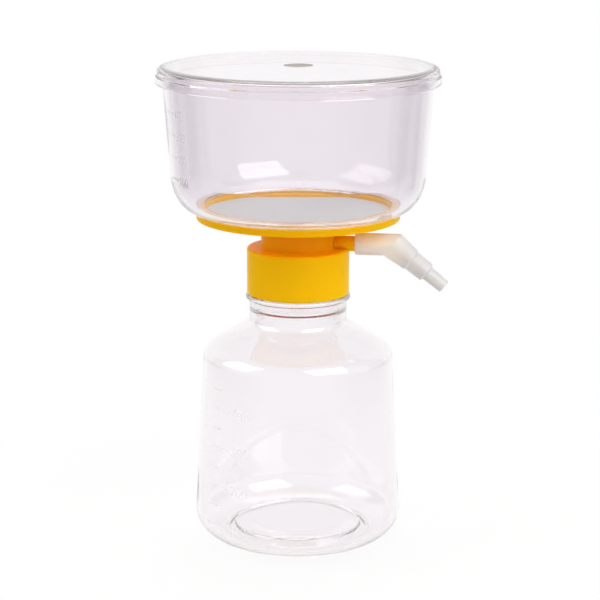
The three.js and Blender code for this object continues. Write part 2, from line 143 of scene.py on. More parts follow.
class HeadSizes(bpy.types.PropertyGroup):
    """Sizes of the filter head, its support plate and its side port."""

    collar_wall: size("Collar wall", "Thickness of the collar", 0.0015)
    collar_height: size("Collar height", "Height of the collar", 0.0206)
    collar_web: size("Collar web", "Thickness of the web over the bottle's lip", 0.0017)
    collar_round: size("Collar round", "Radius of the collar's edges", 0.001)
    waist: size("Waist radius", "Radius of the tube between collar and plate", 0.0164)
    waist_height: size("Waist height", "Height of that tube", 0.0115)
    waist_wall: size("Waist wall", "Wall of that tube", 0.0018)
    rim_draft: size("Rim draft", "The rim narrows this much downwards", 0.0003)
    rim_rise: size("Rim rise", "From the plate's underside to the rim's edge", 0.0017)
    rim_wall: size("Rim wall", "From the outside in to the plate's opening", 0.0035)
    ledge_height: size("Ledge height", "Level of the ledge above the rim's edge", 0.0031)
    ledge_width: size("Ledge width", "Width of the ledge under the funnel's lip", 0.0003)
    tongue: size("Tongue", "Width of the ring in the groove of the funnel's foot", 0.0017)
    belly: size("Belly setback", "From the opening in to the plate's middle", 0.0053)
    plate_slope: size("Plate slope", "Width of the slope from the middle to the rim", 0.0036)
    seat_height: size("Seat height", "Level of the membrane's seat above the rim's edge", 0.0007)
    seat_width: size("Seat width", "Width of the membrane's seat", 0.0041)
    plate_floor: size("Plate floor", "Thickness under the drain channels", 0.0013)
    drain_fall: size("Drain fall", "The channels' floor falls this much", 0.0003)
    spout: size("Spout radius", "Outer radius of the drain spout", 0.0052)
    spout_wall: size("Spout wall", "Wall of the drain spout", 0.0016)
    spout_length: size("Spout length", "Length of the drain spout", 0.027)
    rings: IntProperty(name="Support rings", description="Rings under the membrane", default=4, min=1, max=9)
    support_width: size("Support ring", "Width of a ring under the membrane", 0.0009)
    channels: IntProperty(name="Channels", description="Drain channels across them", default=8, min=3, max=16)
    channel: size("Channel", "Width of a drain channel", 0.0022)
    port: size("Port radius", "Outer radius of the side port", 0.00343)
    port_sink: size("Port sink", "Depth of the port's underside in the collar's top", 0.00133)
    air_bore: size("Air bore", "Radius of the way through port and elbow", 0.002)
    port_azimuth: angle("Port azimuth", "From +X towards +Y", 38)


class FunnelSizes(bpy.types.PropertyGroup):
    """Sizes of the clear funnel."""

    bond_gap: size("Bond gap", "Gap that the packed model leaves at the weld with the head", 0.00025)
    weld: size("Weld gap", "Air gap left between the welded faces", 0.0001)
    overhang: size("Overhang", "Of the foot beyond the head's rim", 0.0002)
    flare: size("Corner flare", "How far the rounded corner widens the funnel", 0.0107)
    corner_height: size("Corner height", "Height of the rounded corner", 0.01755)
    corner_sag: size("Corner sag", "The corner's curve would bottom out this much lower", 0.0002)
    wall: size("Wall", "Thickness of the side wall", 0.0019)
    foot_wall: size("Foot wall", "Thickness where the corner meets the foot", 0.00225)
    setback: size("Web setback", "Of the foot from the plate's opening", 0.0001)
    wave: size("Wall wave", "Unevenness of the inside of the moulded wall", 0.00003)


class LidSizes(bpy.types.PropertyGroup):
    """Sizes of the lid."""

    plate: size("Plate", "Thickness of the top", 0.0016)
    skirt_wall: size("Skirt wall", "Thickness of the skirt", 0.0016)
    fit: size("Fit", "Radial gap round the funnel's mouth", 0.0003)
    crown_width: size("Crown width", "Width of the rounded edge", 0.003)
    crown_height: size("Crown height", "Height of the rounded edge", 0.002)
    lip_height: size("Lip height", "Height of the skirt's foot, which stands out", 0.004)
    lip_slope: size("Lip slope", "Height of the slanted face over that foot", 0.0006)
    lip_chamfer: size("Lip chamfer", "Chamfer of that foot", 0.000375)
    # The recess of this radius holds the dark disc, which is painted shade.
    gate: size("Gate radius", "Radius of the matt mark that the moulding gate leaves on top", 0.0065)
    gate_depth: size("Gate depth", "Depth of the recess in which it lies", 0.0002)


class ConnectorSizes(bpy.types.PropertyGroup):
    """Sizes of the hose connector."""

    sleeve_wall: size("Sleeve wall", "Wall of the sleeve on the port", 0.00135)
    swivel_fit: size("Swivel fit", "Radial clearance on the port", 0.00012)
    sleeve_gap: size("Sleeve gap", "From the collar to the sleeve's open end", 0.0029)
    socket: size("Socket depth", "Length of the port inside the sleeve", 0.012)
    socket_gap: size("Socket end gap", "Beyond the port's end", 0.0004)
    elbow: size("Elbow", "From the port's end to the arm's axis", 0.0042)
    slope: angle("Arm slope", "Slope of the arm below the horizontal", 38)
    first: size("First step", "Length of the first step", 0.0103)
    second: size("Second step", "Length of the second step", 0.0089)
    third: size("Third step", "Length of the third step", 0.0102)
    radii: FloatVectorProperty(
        name="Step radii",
        description="Radii at the start and the end of each step",
        default=(0.0061, 0.00515, 0.0046, 0.00445, 0.00325, 0.003),
        size=6,
        unit="LENGTH",
        precision=5,
    )
    chamfer: size("Step chamfer", "Slanted face between two steps", 0.0006)
    bend: size("Bend", "Length of the sleeve over which its sections start to lean", 0.0105)
    knee_blend: size("Knee blend", "Length of the arm over which its section becomes round", 0.0016)
    knee_height: size("Knee height", "Greatest half height of the section at the knee", 0.0062)


class ScaleSizes(bpy.types.PropertyGroup):
    """Sizes and places of the moulded scales."""

    first_level: size("First mark", "Level of the bottle's lowest mark", 0.0121)
    spacing: size("Spacing", "From one numbered mark to the next", 0.0175)
    marks: IntProperty(name="Marks", description="Numbered marks on each scale", default=4, min=1, max=4)
    left: size("Left end", "Of the marks, from the middle of the bottle's front", -0.0115)
    long_mark: size("Long mark", "Length of a numbered mark", 0.0132)
    short_mark: size("Short mark", "Length of a mark half-way between", 0.0072)
    digit: size("Digit height", "Height of the numerals", 0.0042)
    digit_gap: size("Digit gap", "From a mark to its number", 0.0025)
    stroke: size("Stroke", "Width of the marks and numerals", 0.0005)
    relief: size("Relief", "How far they stand out", 0.00016)
    funnel_first: size("Funnel first mark", "Level of the funnel's lowest mark above its foot", 0.0169)
    funnel_spacing: size("Funnel spacing", "From one funnel mark to the next", 0.0096)
    funnel_left: size("Funnel left end", "Of the funnel's marks, from its scale's direction", -0.006)
    funnel_mark: size("Funnel mark", "Length of a funnel mark", 0.009)
    funnel_digit: size("Funnel digit height", "Height of the funnel's numerals", 0.0036)
    funnel_digit_gap: size("Funnel digit gap", "From a funnel mark to its number", 0.0015)
    funnel_azimuth: angle("Funnel azimuth", "Direction of the funnel's scale", -113)


class Finishes(bpy.types.PropertyGroup):
    """Colours of the plastics."""

    bottle: colour("Bottle", "Tint of the bottle's clear polystyrene", (0.968, 0.948, 0.964))
    funnel: colour("Funnel", "Tint of the funnel's clear polystyrene", (0.915, 0.88, 0.912))
    lid: colour("Lid", "Tint of the lid's clear polystyrene", (0.96, 0.93, 0.955))
    depth: colour("Depth tint", "Colour that deep clear plastic lets through", (0.75, 0.715, 0.67))
    bottle_density: share("Bottle density", "Absorption per metre of the bottle's plastic", 20.0)
    funnel_density: share("Funnel density", "Absorption per metre of the funnel's plastic", 12.0)
    lid_density: share("Lid density", "Absorption per metre of the lid's plastic", 7.0)
    yellow: colour("Yellow", "Filter head", (0.98, 0.51, 0.001))
    # Painted shade: this colour is painted where the plate shades the waist.
    orange: colour("Orange", "Filter head where the plate shades it", (0.84, 0.30, 0.001))
    # Painted shade: a darker colour painted on the plate and its rim.
    dense: colour("Dense yellow", "Filter head's thick plate and rim", (0.74, 0.41, 0.001))
    membrane: colour("Membrane", "Filter membrane", (0.53, 0.535, 0.52))
    # Painted light and shade: the sleeve's pale, warmer colour and the arm's grey.
    sleeve: colour("Sleeve", "Natural polypropylene of the connector's sleeve", (0.99, 0.95, 0.87))
    arm: colour("Arm", "Natural polypropylene of the connector's arm", (0.74, 0.73, 0.73))
    # Painted shade: the gate disc's dark grey stands in for the dark refracted in the lid's recess.
    gate: colour("Gate", "Matt mark of the moulding gate in the lid", (0.42, 0.39, 0.36))
    rubber: colour("Rubber", "Sealing gasket", (0.72, 0.71, 0.68))


class StudioSettings(bpy.types.PropertyGroup):
    """Camera, lamps and floor."""

    azimuth: angle("Camera azimuth", "Direction of the camera from the unit's axis", -43.94)
    elevation: angle("Camera elevation", "Height of the camera above the horizontal", 13.468)
    distance: size("Camera distance", "From the camera to the point it looks at", 0.8815)
    aim_height: size("Aim height", "Level of the point it looks at", 0.1076)
    aim_side: size("Aim side", "That point's distance to the camera's right", 0.00087)
    roll: angle("Camera roll", "Turn about the line of sight", 0.12)
    lens: share("Lens", "Focal length in millimetres on a 36 mm sensor", 118.68)
    gloss: share("Gloss level", "Strength of the surroundings at both sides in mirrored rays", 0.4)
    fill: share("Fill light", "Strength of the surroundings as fill light", 0.38)
    floor_reach: size("Floor reach", "The floor fades to white over this distance", 0.2)
    floor_share: share("Floor share", "How much of the floor near the unit is lit by the lamps", 0.25)
    card_turn: angle("Card turn", "From straight behind the unit round to each dark card", 67.5)
    card_level: share("Card level", "Brightness of the dark cards", 0.3)


GROUPS = {
    "filtration_bottle": BottleSizes,
    "filtration_thread": ThreadSizes,
    "filtration_head": HeadSizes,
    "filtration_funnel": FunnelSizes,
    "filtration_lid": LidSizes,
    "filtration_connector": ConnectorSizes,
    "filtration_scale": ScaleSizes,
    "filtration_finish": Finishes,
    "filtration_studio": StudioSettings,
}


# ---- Outlines ------------------------------------------------------------------------------
# An outline is a list of corners (r, z, fillet). Points on an arc have a fillet of 0.

# The largest turn between two points of an arc.
ARC_STEP = radians(7)
# From the end of a fillet to its holding point.
HOLD = 0.00012
# The longest straight in an outline, and the spacing of the rows where a thread is.
LONGEST = 0.003
THREAD_ROW = 0.0002
# A fillet takes at most this share of the straights beside it.
FILLET_SHARE = 0.45
# Points round the axis, as many as leave each piece under 200,000 triangles.
BOTTLE_COLUMNS = 240
HEAD_COLUMNS = 210
PORT_COLUMNS = 72
CLEAR_COLUMNS = 256


def arc(centre, radii, start, end):
    """Corners on a round or elliptical arc: centre + radii * (cos a, sin a), from start to end in degrees."""
    start, end = radians(start), radians(end)
    count = max(2, ceil(abs(end - start) / ARC_STEP)) + 1
    turn = np.linspace(start, end, count)
    r = centre[0] + radii[0] * np.cos(turn)
    z = centre[1] + radii[1] * np.sin(turn)
    return [(a, b, 0.0) for a, b in zip(r, z)]


def thickened(centre, radii, down, wall, foot_wall):
    """The inside of an elliptical corner, from its level end down by that angle.

    Each point of the corner is moved in along its normal by a thickness that goes evenly from wall to
    foot_wall.
    """
    turn = -np.linspace(0, down, 20)
    outer = np.stack([centre[0] + radii[0] * np.cos(turn), centre[1] + radii[1] * np.sin(turn)], -1)
    normal = np.stack([np.cos(turn) / radii[0], np.sin(turn) / radii[1]], -1)
    normal /= np.linalg.norm(normal, axis=1)[:, None]
    thickness = wall - (foot_wall - wall) * turn / down
    return [(r, z, 0.0) for r, z in outer - normal * thickness[:, None]]


def filleted(corners, closed):
    """The outline with each corner's fillet drawn as an arc tangent to both of its sides.

    The arc of radius f starts f * tan(half the turning angle) before the corner. Each end of an arc gets
    a holding point a little way along the straight, which keeps the straight flat under smooth shading.
    """
    corners = np.array(corners, float)
    points = []
    for index, (r, z, fillet) in enumerate(corners):
        here = np.array([r, z])
        inner = closed or 0 < index < len(corners) - 1
        if fillet <= 0 or not inner:
            points.append(here)
            continue
        back = corners[index - 1, :2] - here
        ahead = corners[(index + 1) % len(corners), :2] - here
        long_back, long_ahead = np.hypot(*back), np.hypot(*ahead)
        back, ahead = back / long_back, ahead / long_ahead
        turning = pi - acos(np.clip(back @ ahead, -1, 1))
        reach = min(fillet * tan(turning / 2), FILLET_SHARE * long_back, FILLET_SHARE * long_ahead)
        radius = reach / tan(turning / 2)
        middle = (back + ahead) / np.hypot(*(back + ahead))
        centre = here + middle * radius / cos(turning / 2)
        hold = min(HOLD, 0.3 * reach)
        points.append(here + back * (reach + hold))
        count = max(2, ceil(turning / ARC_STEP)) + 1
        share_of = np.linspace(0, 1, count)[:, None]
        first, last = here + back * reach - centre, here + ahead * reach - centre
        weights = np.sin((1 - share_of) * turning), np.sin(share_of * turning)
        points.extend(centre + (first * weights[0] + last * weights[1]) / sin(turning))
        points.append(here + ahead * (reach + hold))
    return np.array(points)


def subdivided(points, closed, longest=LONGEST):
    """The same outline with long straights cut into equal lengths no longer than longest."""
    ends = np.roll(points, -1, 0) if closed else points[1:]
    starts = points if closed else points[:-1]
    pieces = []
    for start, end in zip(starts, ends):
        count = max(1, ceil(np.hypot(*(end - start)) / longest))
        pieces.append(start + (end - start) * np.linspace(0, 1, count, endpoint=False)[:, None])
    if not closed:
        pieces.append(points[-1:])
    return np.concatenate(pieces)


def refined(points, first, last):
    """The open outline with its rows close together from one of its points to another."""
    fine = subdivided(points[first:last + 1], False, THREAD_ROW)
    return np.concatenate([points[:first], fine, points[last + 1:]])


def part_between(value, low, high):
    """How far value is from low to high, from 0 to 1."""
    return np.clip((value - low) / (high - low), 0, 1)


def smooth(part):
    """A part from 0 to 1 eased at both ends: part^2 * (3 - 2 * part)."""
    return part * part * (3 - 2 * part)


def waves(t, z, *terms):
    """The sum over the terms of sin(turns * t + rise * z + offset)."""
    return sum(np.sin(turns * t + rise * z + offset) for turns, rise, offset in terms)


# ---- Meshes --------------------------------------------------------------------------------

# Edges that turn more than this are drawn sharp.
SHARP = radians(40)


def grid_faces(rows, columns, wrap_rows, wrap_columns):
    """Quads between neighbours on a rows x columns grid, wrapping round where asked."""
    i, j = np.meshgrid(
        np.arange(rows if wrap_rows else rows - 1),
        np.arange(columns if wrap_columns else columns - 1),
        indexing="ij",
    )
    down, right = (i + 1) % rows, (j + 1) % columns
    corners = [i * columns + j, i * columns + right, down * columns + right, down * columns + j]
    return np.stack(corners, -1).reshape(-1, 4)


def fan_faces(pole, ring, forward):
    """Triangles from a pole to a closed ring of points."""
    ahead = np.roll(ring, -1)
    pair = (ring, ahead) if forward else (ahead, ring)
    return np.stack([np.full(len(ring), pole), *pair], -1)


def signed_volume(points, faces):
    """Volume inside the faces: a sixth of the sum of a . (b x c) over their triangles."""
    total = 0.0
    for face in faces:
        for k in range(1, face.shape[1] - 1):
            a, b, c = points[face[:, 0]], points[face[:, k]], points[face[:, k + 1]]
            total += np.einsum("ij,ij->i", a, np.cross(b, c)).sum() / 6
    return total


def shells(*parts):
    """Several (points, faces) shells as one, each turned to face outwards."""
    all_points, all_faces, offset = [], [], 0
    for points, faces in parts:
        turned_out = signed_volume(points, faces) > 0
        for face in faces:
            all_faces.extend((face if turned_out else face[:, ::-1]) + offset)
        all_points.append(points)
        offset += len(points)
    return np.concatenate(all_points), all_faces


def placed(name, data):
    """An object of that data in the scene."""
    made = bpy.data.objects.new(name, data)
    bpy.context.scene.collection.objects.link(made)
    return made


def piece(name, shell, finish, body, slot, stands_for=None):
    """A mesh object of that shell, smooth but for its sharp edges, riding on its body."""
    points, faces = shell
    mesh = bpy.data.meshes.new(name)
    mesh.from_pydata(points.tolist(), [], [face.tolist() for face in faces])
    mesh.polygons.foreach_set("use_smooth", np.ones(len(mesh.polygons), bool))
    mesh.materials.append(bpy.data.materials[finish])
    mesh.update()
    mesh.set_sharp_from_angle(angle=SHARP)
    made = placed(name, mesh)
    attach(made, body)
    if stands_for:
        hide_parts(stands_for)


def turned(outline, columns, shift=None):
    """A body of revolution: (r cos t, r sin t, z) for each outline point and each angle t.

    shift(r, z, t) may move the surface; it gives the new r and z. An outline that starts and ends on the
    axis gets a pole at each end, and any other closes on itself.
    """
    outline = np.array(outline, float)
    poles = outline[0, 0] < 1e-9 and outline[-1, 0] < 1e-9
    ring = outline[1:-1] if poles else outline
    t = np.linspace(0, 2 * pi, columns, endpoint=False)[None, :]
    r = np.repeat(ring[:, :1], columns, 1)
    z = np.repeat(ring[:, 1:], columns, 1)
    if shift is not None:
        r, z = shift(r, z, t)
    points = np.stack([r * np.cos(t), r * np.sin(t), z], -1).reshape(-1, 3)
    faces = [grid_faces(len(ring), columns, not poles, True)]
    if poles:
        first, last = len(points), len(points) + 1
        ends = np.array([[0, 0, outline[0, 1]], [0, 0, outline[-1, 1]]])
        points = np.concatenate([points, ends])
        row = np.arange(columns)
        faces.append(fan_faces(first, row, False))
        faces.append(fan_faces(last, row + (len(ring) - 1) * columns, True))
    return points, faces


def solid_of(corners, columns, longest=LONGEST):
    """A body of revolution from an outline's corners."""
    closed = not (corners[0][0] < 1e-9 and corners[-1][0] < 1e-9)
    outline = subdivided(filleted(corners, closed), closed, longest)
    return shells(turned(outline, columns))


def swept(rings):
    """A tube through rings, an array of closed rings of points, whose last ring joins its first."""
    count, around, _ = rings.shape
    return rings.reshape(-1, 3), [grid_faces(count, around, True, True)]


def capped(rings):
    """A bar through rings, each of its two ends closed by triangles from that ring's first point."""
    count, around, _ = rings.shape
    row = np.arange(around)
    ends = [
        np.stack([np.full(around - 2, end[0]), end[1:-1], end[2:]], -1)
        for end in (row[::-1], row + (count - 1) * around)
    ]
    return rings.reshape(-1, 3), [grid_faces(count, around, False, True), *ends]


# ---- Moulded marks and numerals --------------------------------------------------------------

# Keeps a mark's foot off the wall.
LIFT = 0.00002
# Width of a mark's pointed end as a share of its full width.
POINT = 0.12
# Millilitres from one numbered mark to the next.
VOLUME_STEP = 100


def ridge(path, width, height, place):
    """A rounded ridge along a flat path (u, v), laid on a surface by place(u, v, out).

    Its section is half an ellipse of that width and height, with a flat foot, carried along the path. The
    section stays square to the path, and both ends shrink to a point over half a width.
    """
    steps = np.gradient(path, axis=0)
    steps /= np.linalg.norm(steps, axis=1)[:, None]
    side = np.stack([-steps[:, 1], steps[:, 0]], -1)
    path = np.concatenate([path[:1] - steps[:1] * width / 2, path, path[-1:] + steps[-1:] * width / 2])
    side = np.concatenate([side[:1], side, side[-1:]])
    full = np.ones(len(path))
    full[[0, -1]] = POINT
    turn = np.linspace(0, pi, 7)
    across, out = np.cos(turn) * width / 2, np.sin(turn) * height
    u = path[:, :1] + side[:, :1] * across * full[:, None]
    v = path[:, 1:] + side[:, 1:] * across * full[:, None]
    return capped(place(u, v, out[None, :] * full[:, None]))


def on_wall(radius_at, middle, azimuth):
    """A place(u, v, out) for ridges on an upright wall.

    u runs round the wall from that azimuth at its middle radius. v is the level, where the wall's radius is
    radius_at(v).
    """

    def place(u, v, out):
        """The point out from the wall at u and v."""
        r = radius_at(v) + LIFT + out
        t = u / middle + azimuth
        return np.stack([r * np.cos(t), r * np.sin(t), v + 0 * out], -1)

    return place


def level_line(left, length, level, count):
    """Points along a level line."""
    u = np.linspace(left, left + length, count)
    return np.stack([u, np.full_like(u, level)], -1)


def bow(centre, radii, start, end, count=14):
    """Points on an elliptical bow, angles in degrees."""
    turn = np.radians(np.linspace(start, end, count))
    return np.stack([centre[0] + radii[0] * np.cos(turn), centre[1] + radii[1] * np.sin(turn)], -1)


def stroke(*ends):
    """Evenly spaced points along straight strokes between the ends."""
    ends = np.array(ends, float)
    t = np.linspace(0, len(ends) - 1, 6 * (len(ends) - 1) + 1)
    return np.stack([np.interp(t, np.arange(len(ends)), ends[:, k]) for k in (0, 1)], -1)


# The strokes of each digit, in a box one high.
DIGITS = {
    "0": [bow((0.3, 0.5), (0.28, 0.48), 90, 450, 24)],
    "1": [stroke((0.12, 0.78), (0.34, 0.98), (0.34, 0.02))],
    "2": [np.concatenate([
        bow((0.3, 0.72), (0.26, 0.25), 165, -35),
        stroke((0.42, 0.46), (0.03, 0.03), (0.58, 0.03)),
    ])],
    "3": [bow((0.28, 0.74), (0.25, 0.23), 150, -90), bow((0.28, 0.27), (0.28, 0.25), 90, -150)],
    "4": [stroke((0.42, 0.02), (0.42, 0.97), (0.02, 0.3), (0.6, 0.3))],
}
DIGIT_ADVANCE = 0.78


def number_paths(number, left, middle, height):
    """The strokes of a number, its left end at left and centred on the level middle."""
    corner = np.array([left, middle - height / 2])
    return [
        corner + height * (path + [DIGIT_ADVANCE * index, 0])
        for index, digit in enumerate(str(number))
        for path in DIGITS[digit]
    ]


# ---- Materials -----------------------------------------------------------------------------


def new_material(name):
    """An empty node material, its tree and its output."""
    material = bpy.data.materials.new(name)
    material.use_nodes = True
    material.node_tree.nodes.clear()
    return material, material.node_tree, add(material.node_tree, "ShaderNodeOutputMaterial")


def feed(tree, socket, value):
    """Links an output to the input socket, or sets it to a value."""
    if isinstance(value, bpy.types.NodeSocket):
        tree.links.new(value, socket)
    elif socket.type == "RGBA":
        socket.default_value = (*value, 1)
    else:
        socket.default_value = value


def add(tree, kind, *values, **named):
    """A node with values for its inputs in their order, and with properties and inputs by their names.

    A named input has its spaces as underscores.
    """
    made = tree.nodes.new(kind)
    for key, value in named.items():
        label = key.replace("_", " ")
        if label in made.inputs:
            feed(tree, made.inputs[label], value)
        else:
            setattr(made, key, value)
    for socket, value in zip(made.inputs, values):
        feed(tree, socket, value)
    return made


def combined(tree, operation, *values, clamp=False):
    """Numbers combined by a math operation."""
    return add(tree, "ShaderNodeMath", *values, operation=operation, use_clamp=clamp).outputs[0]


def vector(tree, operation, *values, result="Vector"):
    """Vectors combined by an operation."""
    return add(tree, "ShaderNodeVectorMath", *values, operation=operation).outputs[result]


def remap(tree, value, low, high, from_low=0.3, from_high=0.7):
    """The value's range from_low to from_high spread over low to high."""
    return add(tree, "ShaderNodeMapRange", value, from_low, from_high, low, high).outputs["Result"]


def object_place(tree):
    """The Object coordinates."""
    return add(tree, "ShaderNodeTexCoord").outputs["Object"]


def from_axis(tree, place):
    """A place's distance from the unit's axis."""
    return vector(tree, "LENGTH", vector(tree, "MULTIPLY", place, (1, 1, 0)), result="Value")


def noise(tree, scale, detail=3.0, roughness=0.5):
    """Noise on Object coordinates; scale is in waves to the metre."""
    place = object_place(tree)
    made = add(tree, "ShaderNodeTexNoise", place, Scale=scale, Detail=detail, Roughness=roughness)
    return made.outputs["Fac"]


def bump(tree, height, strength, distance):
    """A bumped normal from a height."""
    return add(tree, "ShaderNodeBump", Height=height, Strength=strength, Distance=distance).outputs["Normal"]


def mixed_colour(tree, factor, first, second):
    """Two colours mixed by factor."""
    made = add(tree, "ShaderNodeMix", data_type="RGBA", Factor=factor)
    for socket, value in zip([socket for socket in made.inputs if socket.type == "RGBA"], (first, second)):
        feed(tree, socket, value)
    return next(socket for socket in made.outputs if socket.type == "RGBA")


def duller(base, level):
    """A colour a little darker than base."""
    return tuple(level * channel for channel in base)


def lamps_pass(tree, shader, film, output):
    """Rays towards lamps see a plain tinted film in place of the shader, so lamplight comes through."""
    clear = add(tree, "ShaderNodeBsdfTransparent", Color=film)
    shadow = add(tree, "ShaderNodeLightPath").outputs["Is Shadow Ray"]
    either = add(tree, "ShaderNodeMixShader", shadow, shader.outputs[0], clear.outputs[0])
    feed(tree, output.inputs["Surface"], either.outputs[0])


def clear_plastic(name, tint, depth_tint, density, wave_scale):
    """Clear polystyrene: smooth glass with slight moulding waves, faintly dark in its depth."""
    _, tree, output = new_material(name)
    glass = add(
        tree, "ShaderNodeBsdfPrincipled", Base_Color=tint, Roughness=0.0, IOR=1.58, Transmission_Weight=1.0,
        Normal=bump(tree, noise(tree, wave_scale, 2.0), 0.25, 0.0002),
    )
    lamps_pass(tree, glass, (0.955, 0.95, 0.955), output)
    depth = add(tree, "ShaderNodeVolumeAbsorption", Color=depth_tint, Density=density)
    feed(tree, output.inputs["Volume"], depth.outputs[0])


def yellow_plastic(base, deep, dense, shade_levels, reach):
    """Yellow polypropylene: satin, with a fine grain.

    Lamplight passes its walls reddened. Between the two levels in shade_levels and within reach of the axis,
    where the plate shades the waist, the colour is painted deeper and redder: painted shade. The plate and
    its
    rim are painted darker: painted shade too.
    """
    _, tree, output = new_material("yellow_polypropylene")
    place = object_place(tree)
    level = add(tree, "ShaderNodeSeparateXYZ", place).outputs["Z"]
    # Painted shade: a deeper, redder colour between the collar's top and the plate's underside, near the
    # axis.
    above = remap(tree, level, 0.0, 1.0, shade_levels[0] - 0.002, shade_levels[0] + 0.009)
    below = remap(tree, level, 1.0, 0.0, shade_levels[1] - 0.001, shade_levels[1] + 0.003)
    near = remap(tree, from_axis(tree, place), 1.0, 0.0, 0.8 * reach, 1.12 * reach)
    shaded = combined(tree, "MULTIPLY", combined(tree, "MULTIPLY", above, below), near)
    flow = remap(tree, noise(tree, 55.0, 2.0), 0.0, 0.12)
    shade_mixed = mixed_colour(tree, combined(tree, "ADD", flow, shaded, clamp=True), base, deep)
    # Painted shade: the plate and rim get the darker colour from the plate's underside up.
    shade_darkened = remap(tree, level, 0.0, 1.0, shade_levels[1], shade_levels[1] + 0.002)
    plastic = add(
        tree, "ShaderNodeBsdfPrincipled", IOR=1.49, Specular_IOR_Level=0.05, Subsurface_Weight=0.6,
        Subsurface_Radius=(1.0, 0.3, 0.03), Subsurface_Scale=0.005,
        Base_Color=mixed_colour(tree, shade_darkened, shade_mixed, dense),
        Roughness=remap(tree, noise(tree, 240.0), 0.27, 0.36),
        Normal=bump(tree, noise(tree, 2600.0, 4.0), 0.18, 0.00004),
    )
    lamps_pass(tree, plastic, (0.72, 0.45, 0.08), output)


def membrane_sheet(base):
    """Matt filter membrane: fine paper-like tooth and faint cloudiness."""
    _, tree, output = new_material("filter_membrane")
    paper = add(
        tree, "ShaderNodeBsdfPrincipled", Roughness=0.85,
        Base_Color=mixed_colour(tree, noise(tree, 45.0, 4.0, 0.6), duller(base, 0.955), base),
        Normal=bump(tree, noise(tree, 4200.0, 5.0, 0.65), 0.5, 0.00006),
    )
    lamps_pass(tree, paper, (0.6, 0.6, 0.6), output)


def milky_plastic(sleeve, arm, reach):
    """Natural polypropylene: cloudy and translucent, so that the port shows through as a blur.

    Up to reach from the axis the sleeve is painted a paler, warmer colour, as painted light for the port's
    glow through its wall. Beyond it the arm is painted greyer, as painted shade.
    """
    _, tree, output = new_material("natural_polypropylene")
    # Painted light and shade: a paler, warmer sleeve up to reach from the axis, and a greyer arm beyond.
    shade_darkened = remap(tree, from_axis(tree, object_place(tree)), 0.0, 1.0, 0.95 * reach, 1.3 * reach)
    plastic = add(
        tree, "ShaderNodeBsdfPrincipled", Roughness=0.34, IOR=1.42, Transmission_Weight=0.3,
        Subsurface_Weight=0.8, Subsurface_Radius=(1.0, 0.8, 0.6), Subsurface_Scale=0.003,
        Base_Color=mixed_colour(tree, shade_darkened, sleeve, arm),
        Normal=bump(tree, noise(tree, 900.0), 0.2, 0.00008),
    )
    lamps_pass(tree, plastic, (0.86, 0.82, 0.78), output)


def gate_mark(base):
    """A dark, matt disc in the gate's recess: painted shade for the dark that the recess shows by refraction.
    """
    _, tree, output = new_material("gate_disc_painted_dark")
    matt = add(
        tree, "ShaderNodeBsdfPrincipled", Roughness=0.8, Specular_IOR_Level=0.1,
        Base_Color=mixed_colour(tree, noise(tree, 900.0), duller(base, 0.9), base),
        Normal=bump(tree, noise(tree, 3000.0), 0.3, 0.00005),
    )
    lamps_pass(tree, matt, (0.8, 0.78, 0.76), output)


def seal_rubber(base):
    """Pale silicone rubber: matt, with a fine moulded skin."""
    _, tree, output = new_material("silicone_rubber")
    rubber = add(
        tree, "ShaderNodeBsdfPrincipled", Roughness=0.6,
        Base_Color=mixed_colour(tree, noise(tree, 700.0), duller(base, 0.93), base),
        Normal=bump(tree, noise(tree, 3000.0), 0.3, 0.00005),
    )
    feed(tree, output.inputs["Surface"], rubber.outputs[0])


# ---- Levels that several pieces share ----------------------------------------------------------


class Levels:
    """Radii and levels worked out from the property groups and the frame."""

    def __init__(self, scene):
        b, t, h = scene.filtration_bottle, scene.filtration_thread, scene.filtration_head
        c, f = scene.filtration_connector, scene.filtration_funnel
        self.bead_top = COLLAR_BOTTOM - b.contact_gap
        self.bead_bottom = self.bead_top - b.bead_height
        self.collar_bore = b.finish + t.ridge + t.clearance
        self.collar_radius = self.collar_bore + h.collar_wall
        self.collar_top = COLLAR_BOTTOM + h.collar_height
        self.web_underside = self.collar_top - h.collar_web
        self.plate_underside = self.collar_top + h.waist_height
        self.rim_bottom = self.plate_underside + h.rim_rise
        self.ledge = self.rim_bottom + h.ledge_height
        self.seat = self.rim_bottom + h.seat_height
        self.opening = RIM_RADIUS - h.rim_wall
        self.drain_floor = self.plate_underside + h.plate_floor
        self.port_level = self.collar_top + h.port - h.port_sink
        self.sleeve_start = self.collar_radius + c.sleeve_gap
        self.port_end = self.sleeve_start + c.socket
        self.knee = self.port_end + c.elbow
        self.funnel_foot = RIM_RADIUS + f.overhang
        self.funnel_corner = self.funnel_foot + f.flare
        self.corner_top = FUNNEL_BOTTOM + f.corner_height

    def funnel_wall(self, level):
        """The funnel's outer radius at a level of its side wall."""
        part = (level - self.corner_top) / (FUNNEL_TOP - self.corner_top)
        return self.funnel_corner + (FUNNEL_MOUTH - self.funnel_corner) * part


def bottle_wall(s, level):
    """The bottle's outer radius at a level of its body."""
    return BOTTLE_RADIUS - s.taper * part_between(level, s.heel, s.shoulder_height)


def thread_ridge(r, z, t, root, start, sizes, outward):
    """The surface at radius root with one turn of thread on it.

    The ridge's height is the square root of ridge^2 - d^2, with d the distance along Z from the helix
    start + pitch * t / 2 pi. It fades in and out over a twelfth of a turn.
    """
    helix = start + sizes.pitch * t / (2 * pi)
    height = np.sqrt(np.clip(sizes.ridge**2 - (z - helix) ** 2, 0, None))
    fade = smooth(np.clip(np.minimum(t, 2 * pi - t) / (pi / 6), 0, 1))
    return np.where(np.abs(r - root) < 1e-6, r + outward * height * fade, r)


# ---- Bottle --------------------------------------------------------------------------------

# Waves inside the bottle's and the funnel's walls: turns about the axis, rise to the metre, offset.
BOTTLE_WAVES = ((3, 70, 0), (5, -110, 1), (2, 160, 2))
FUNNEL_WAVES = ((2, 60, 0), (4, -90, 1))
# Half length and half width of a nub on the floor's edge.
NUB_LENGTH, NUB_WIDTH = 0.0018, 0.001


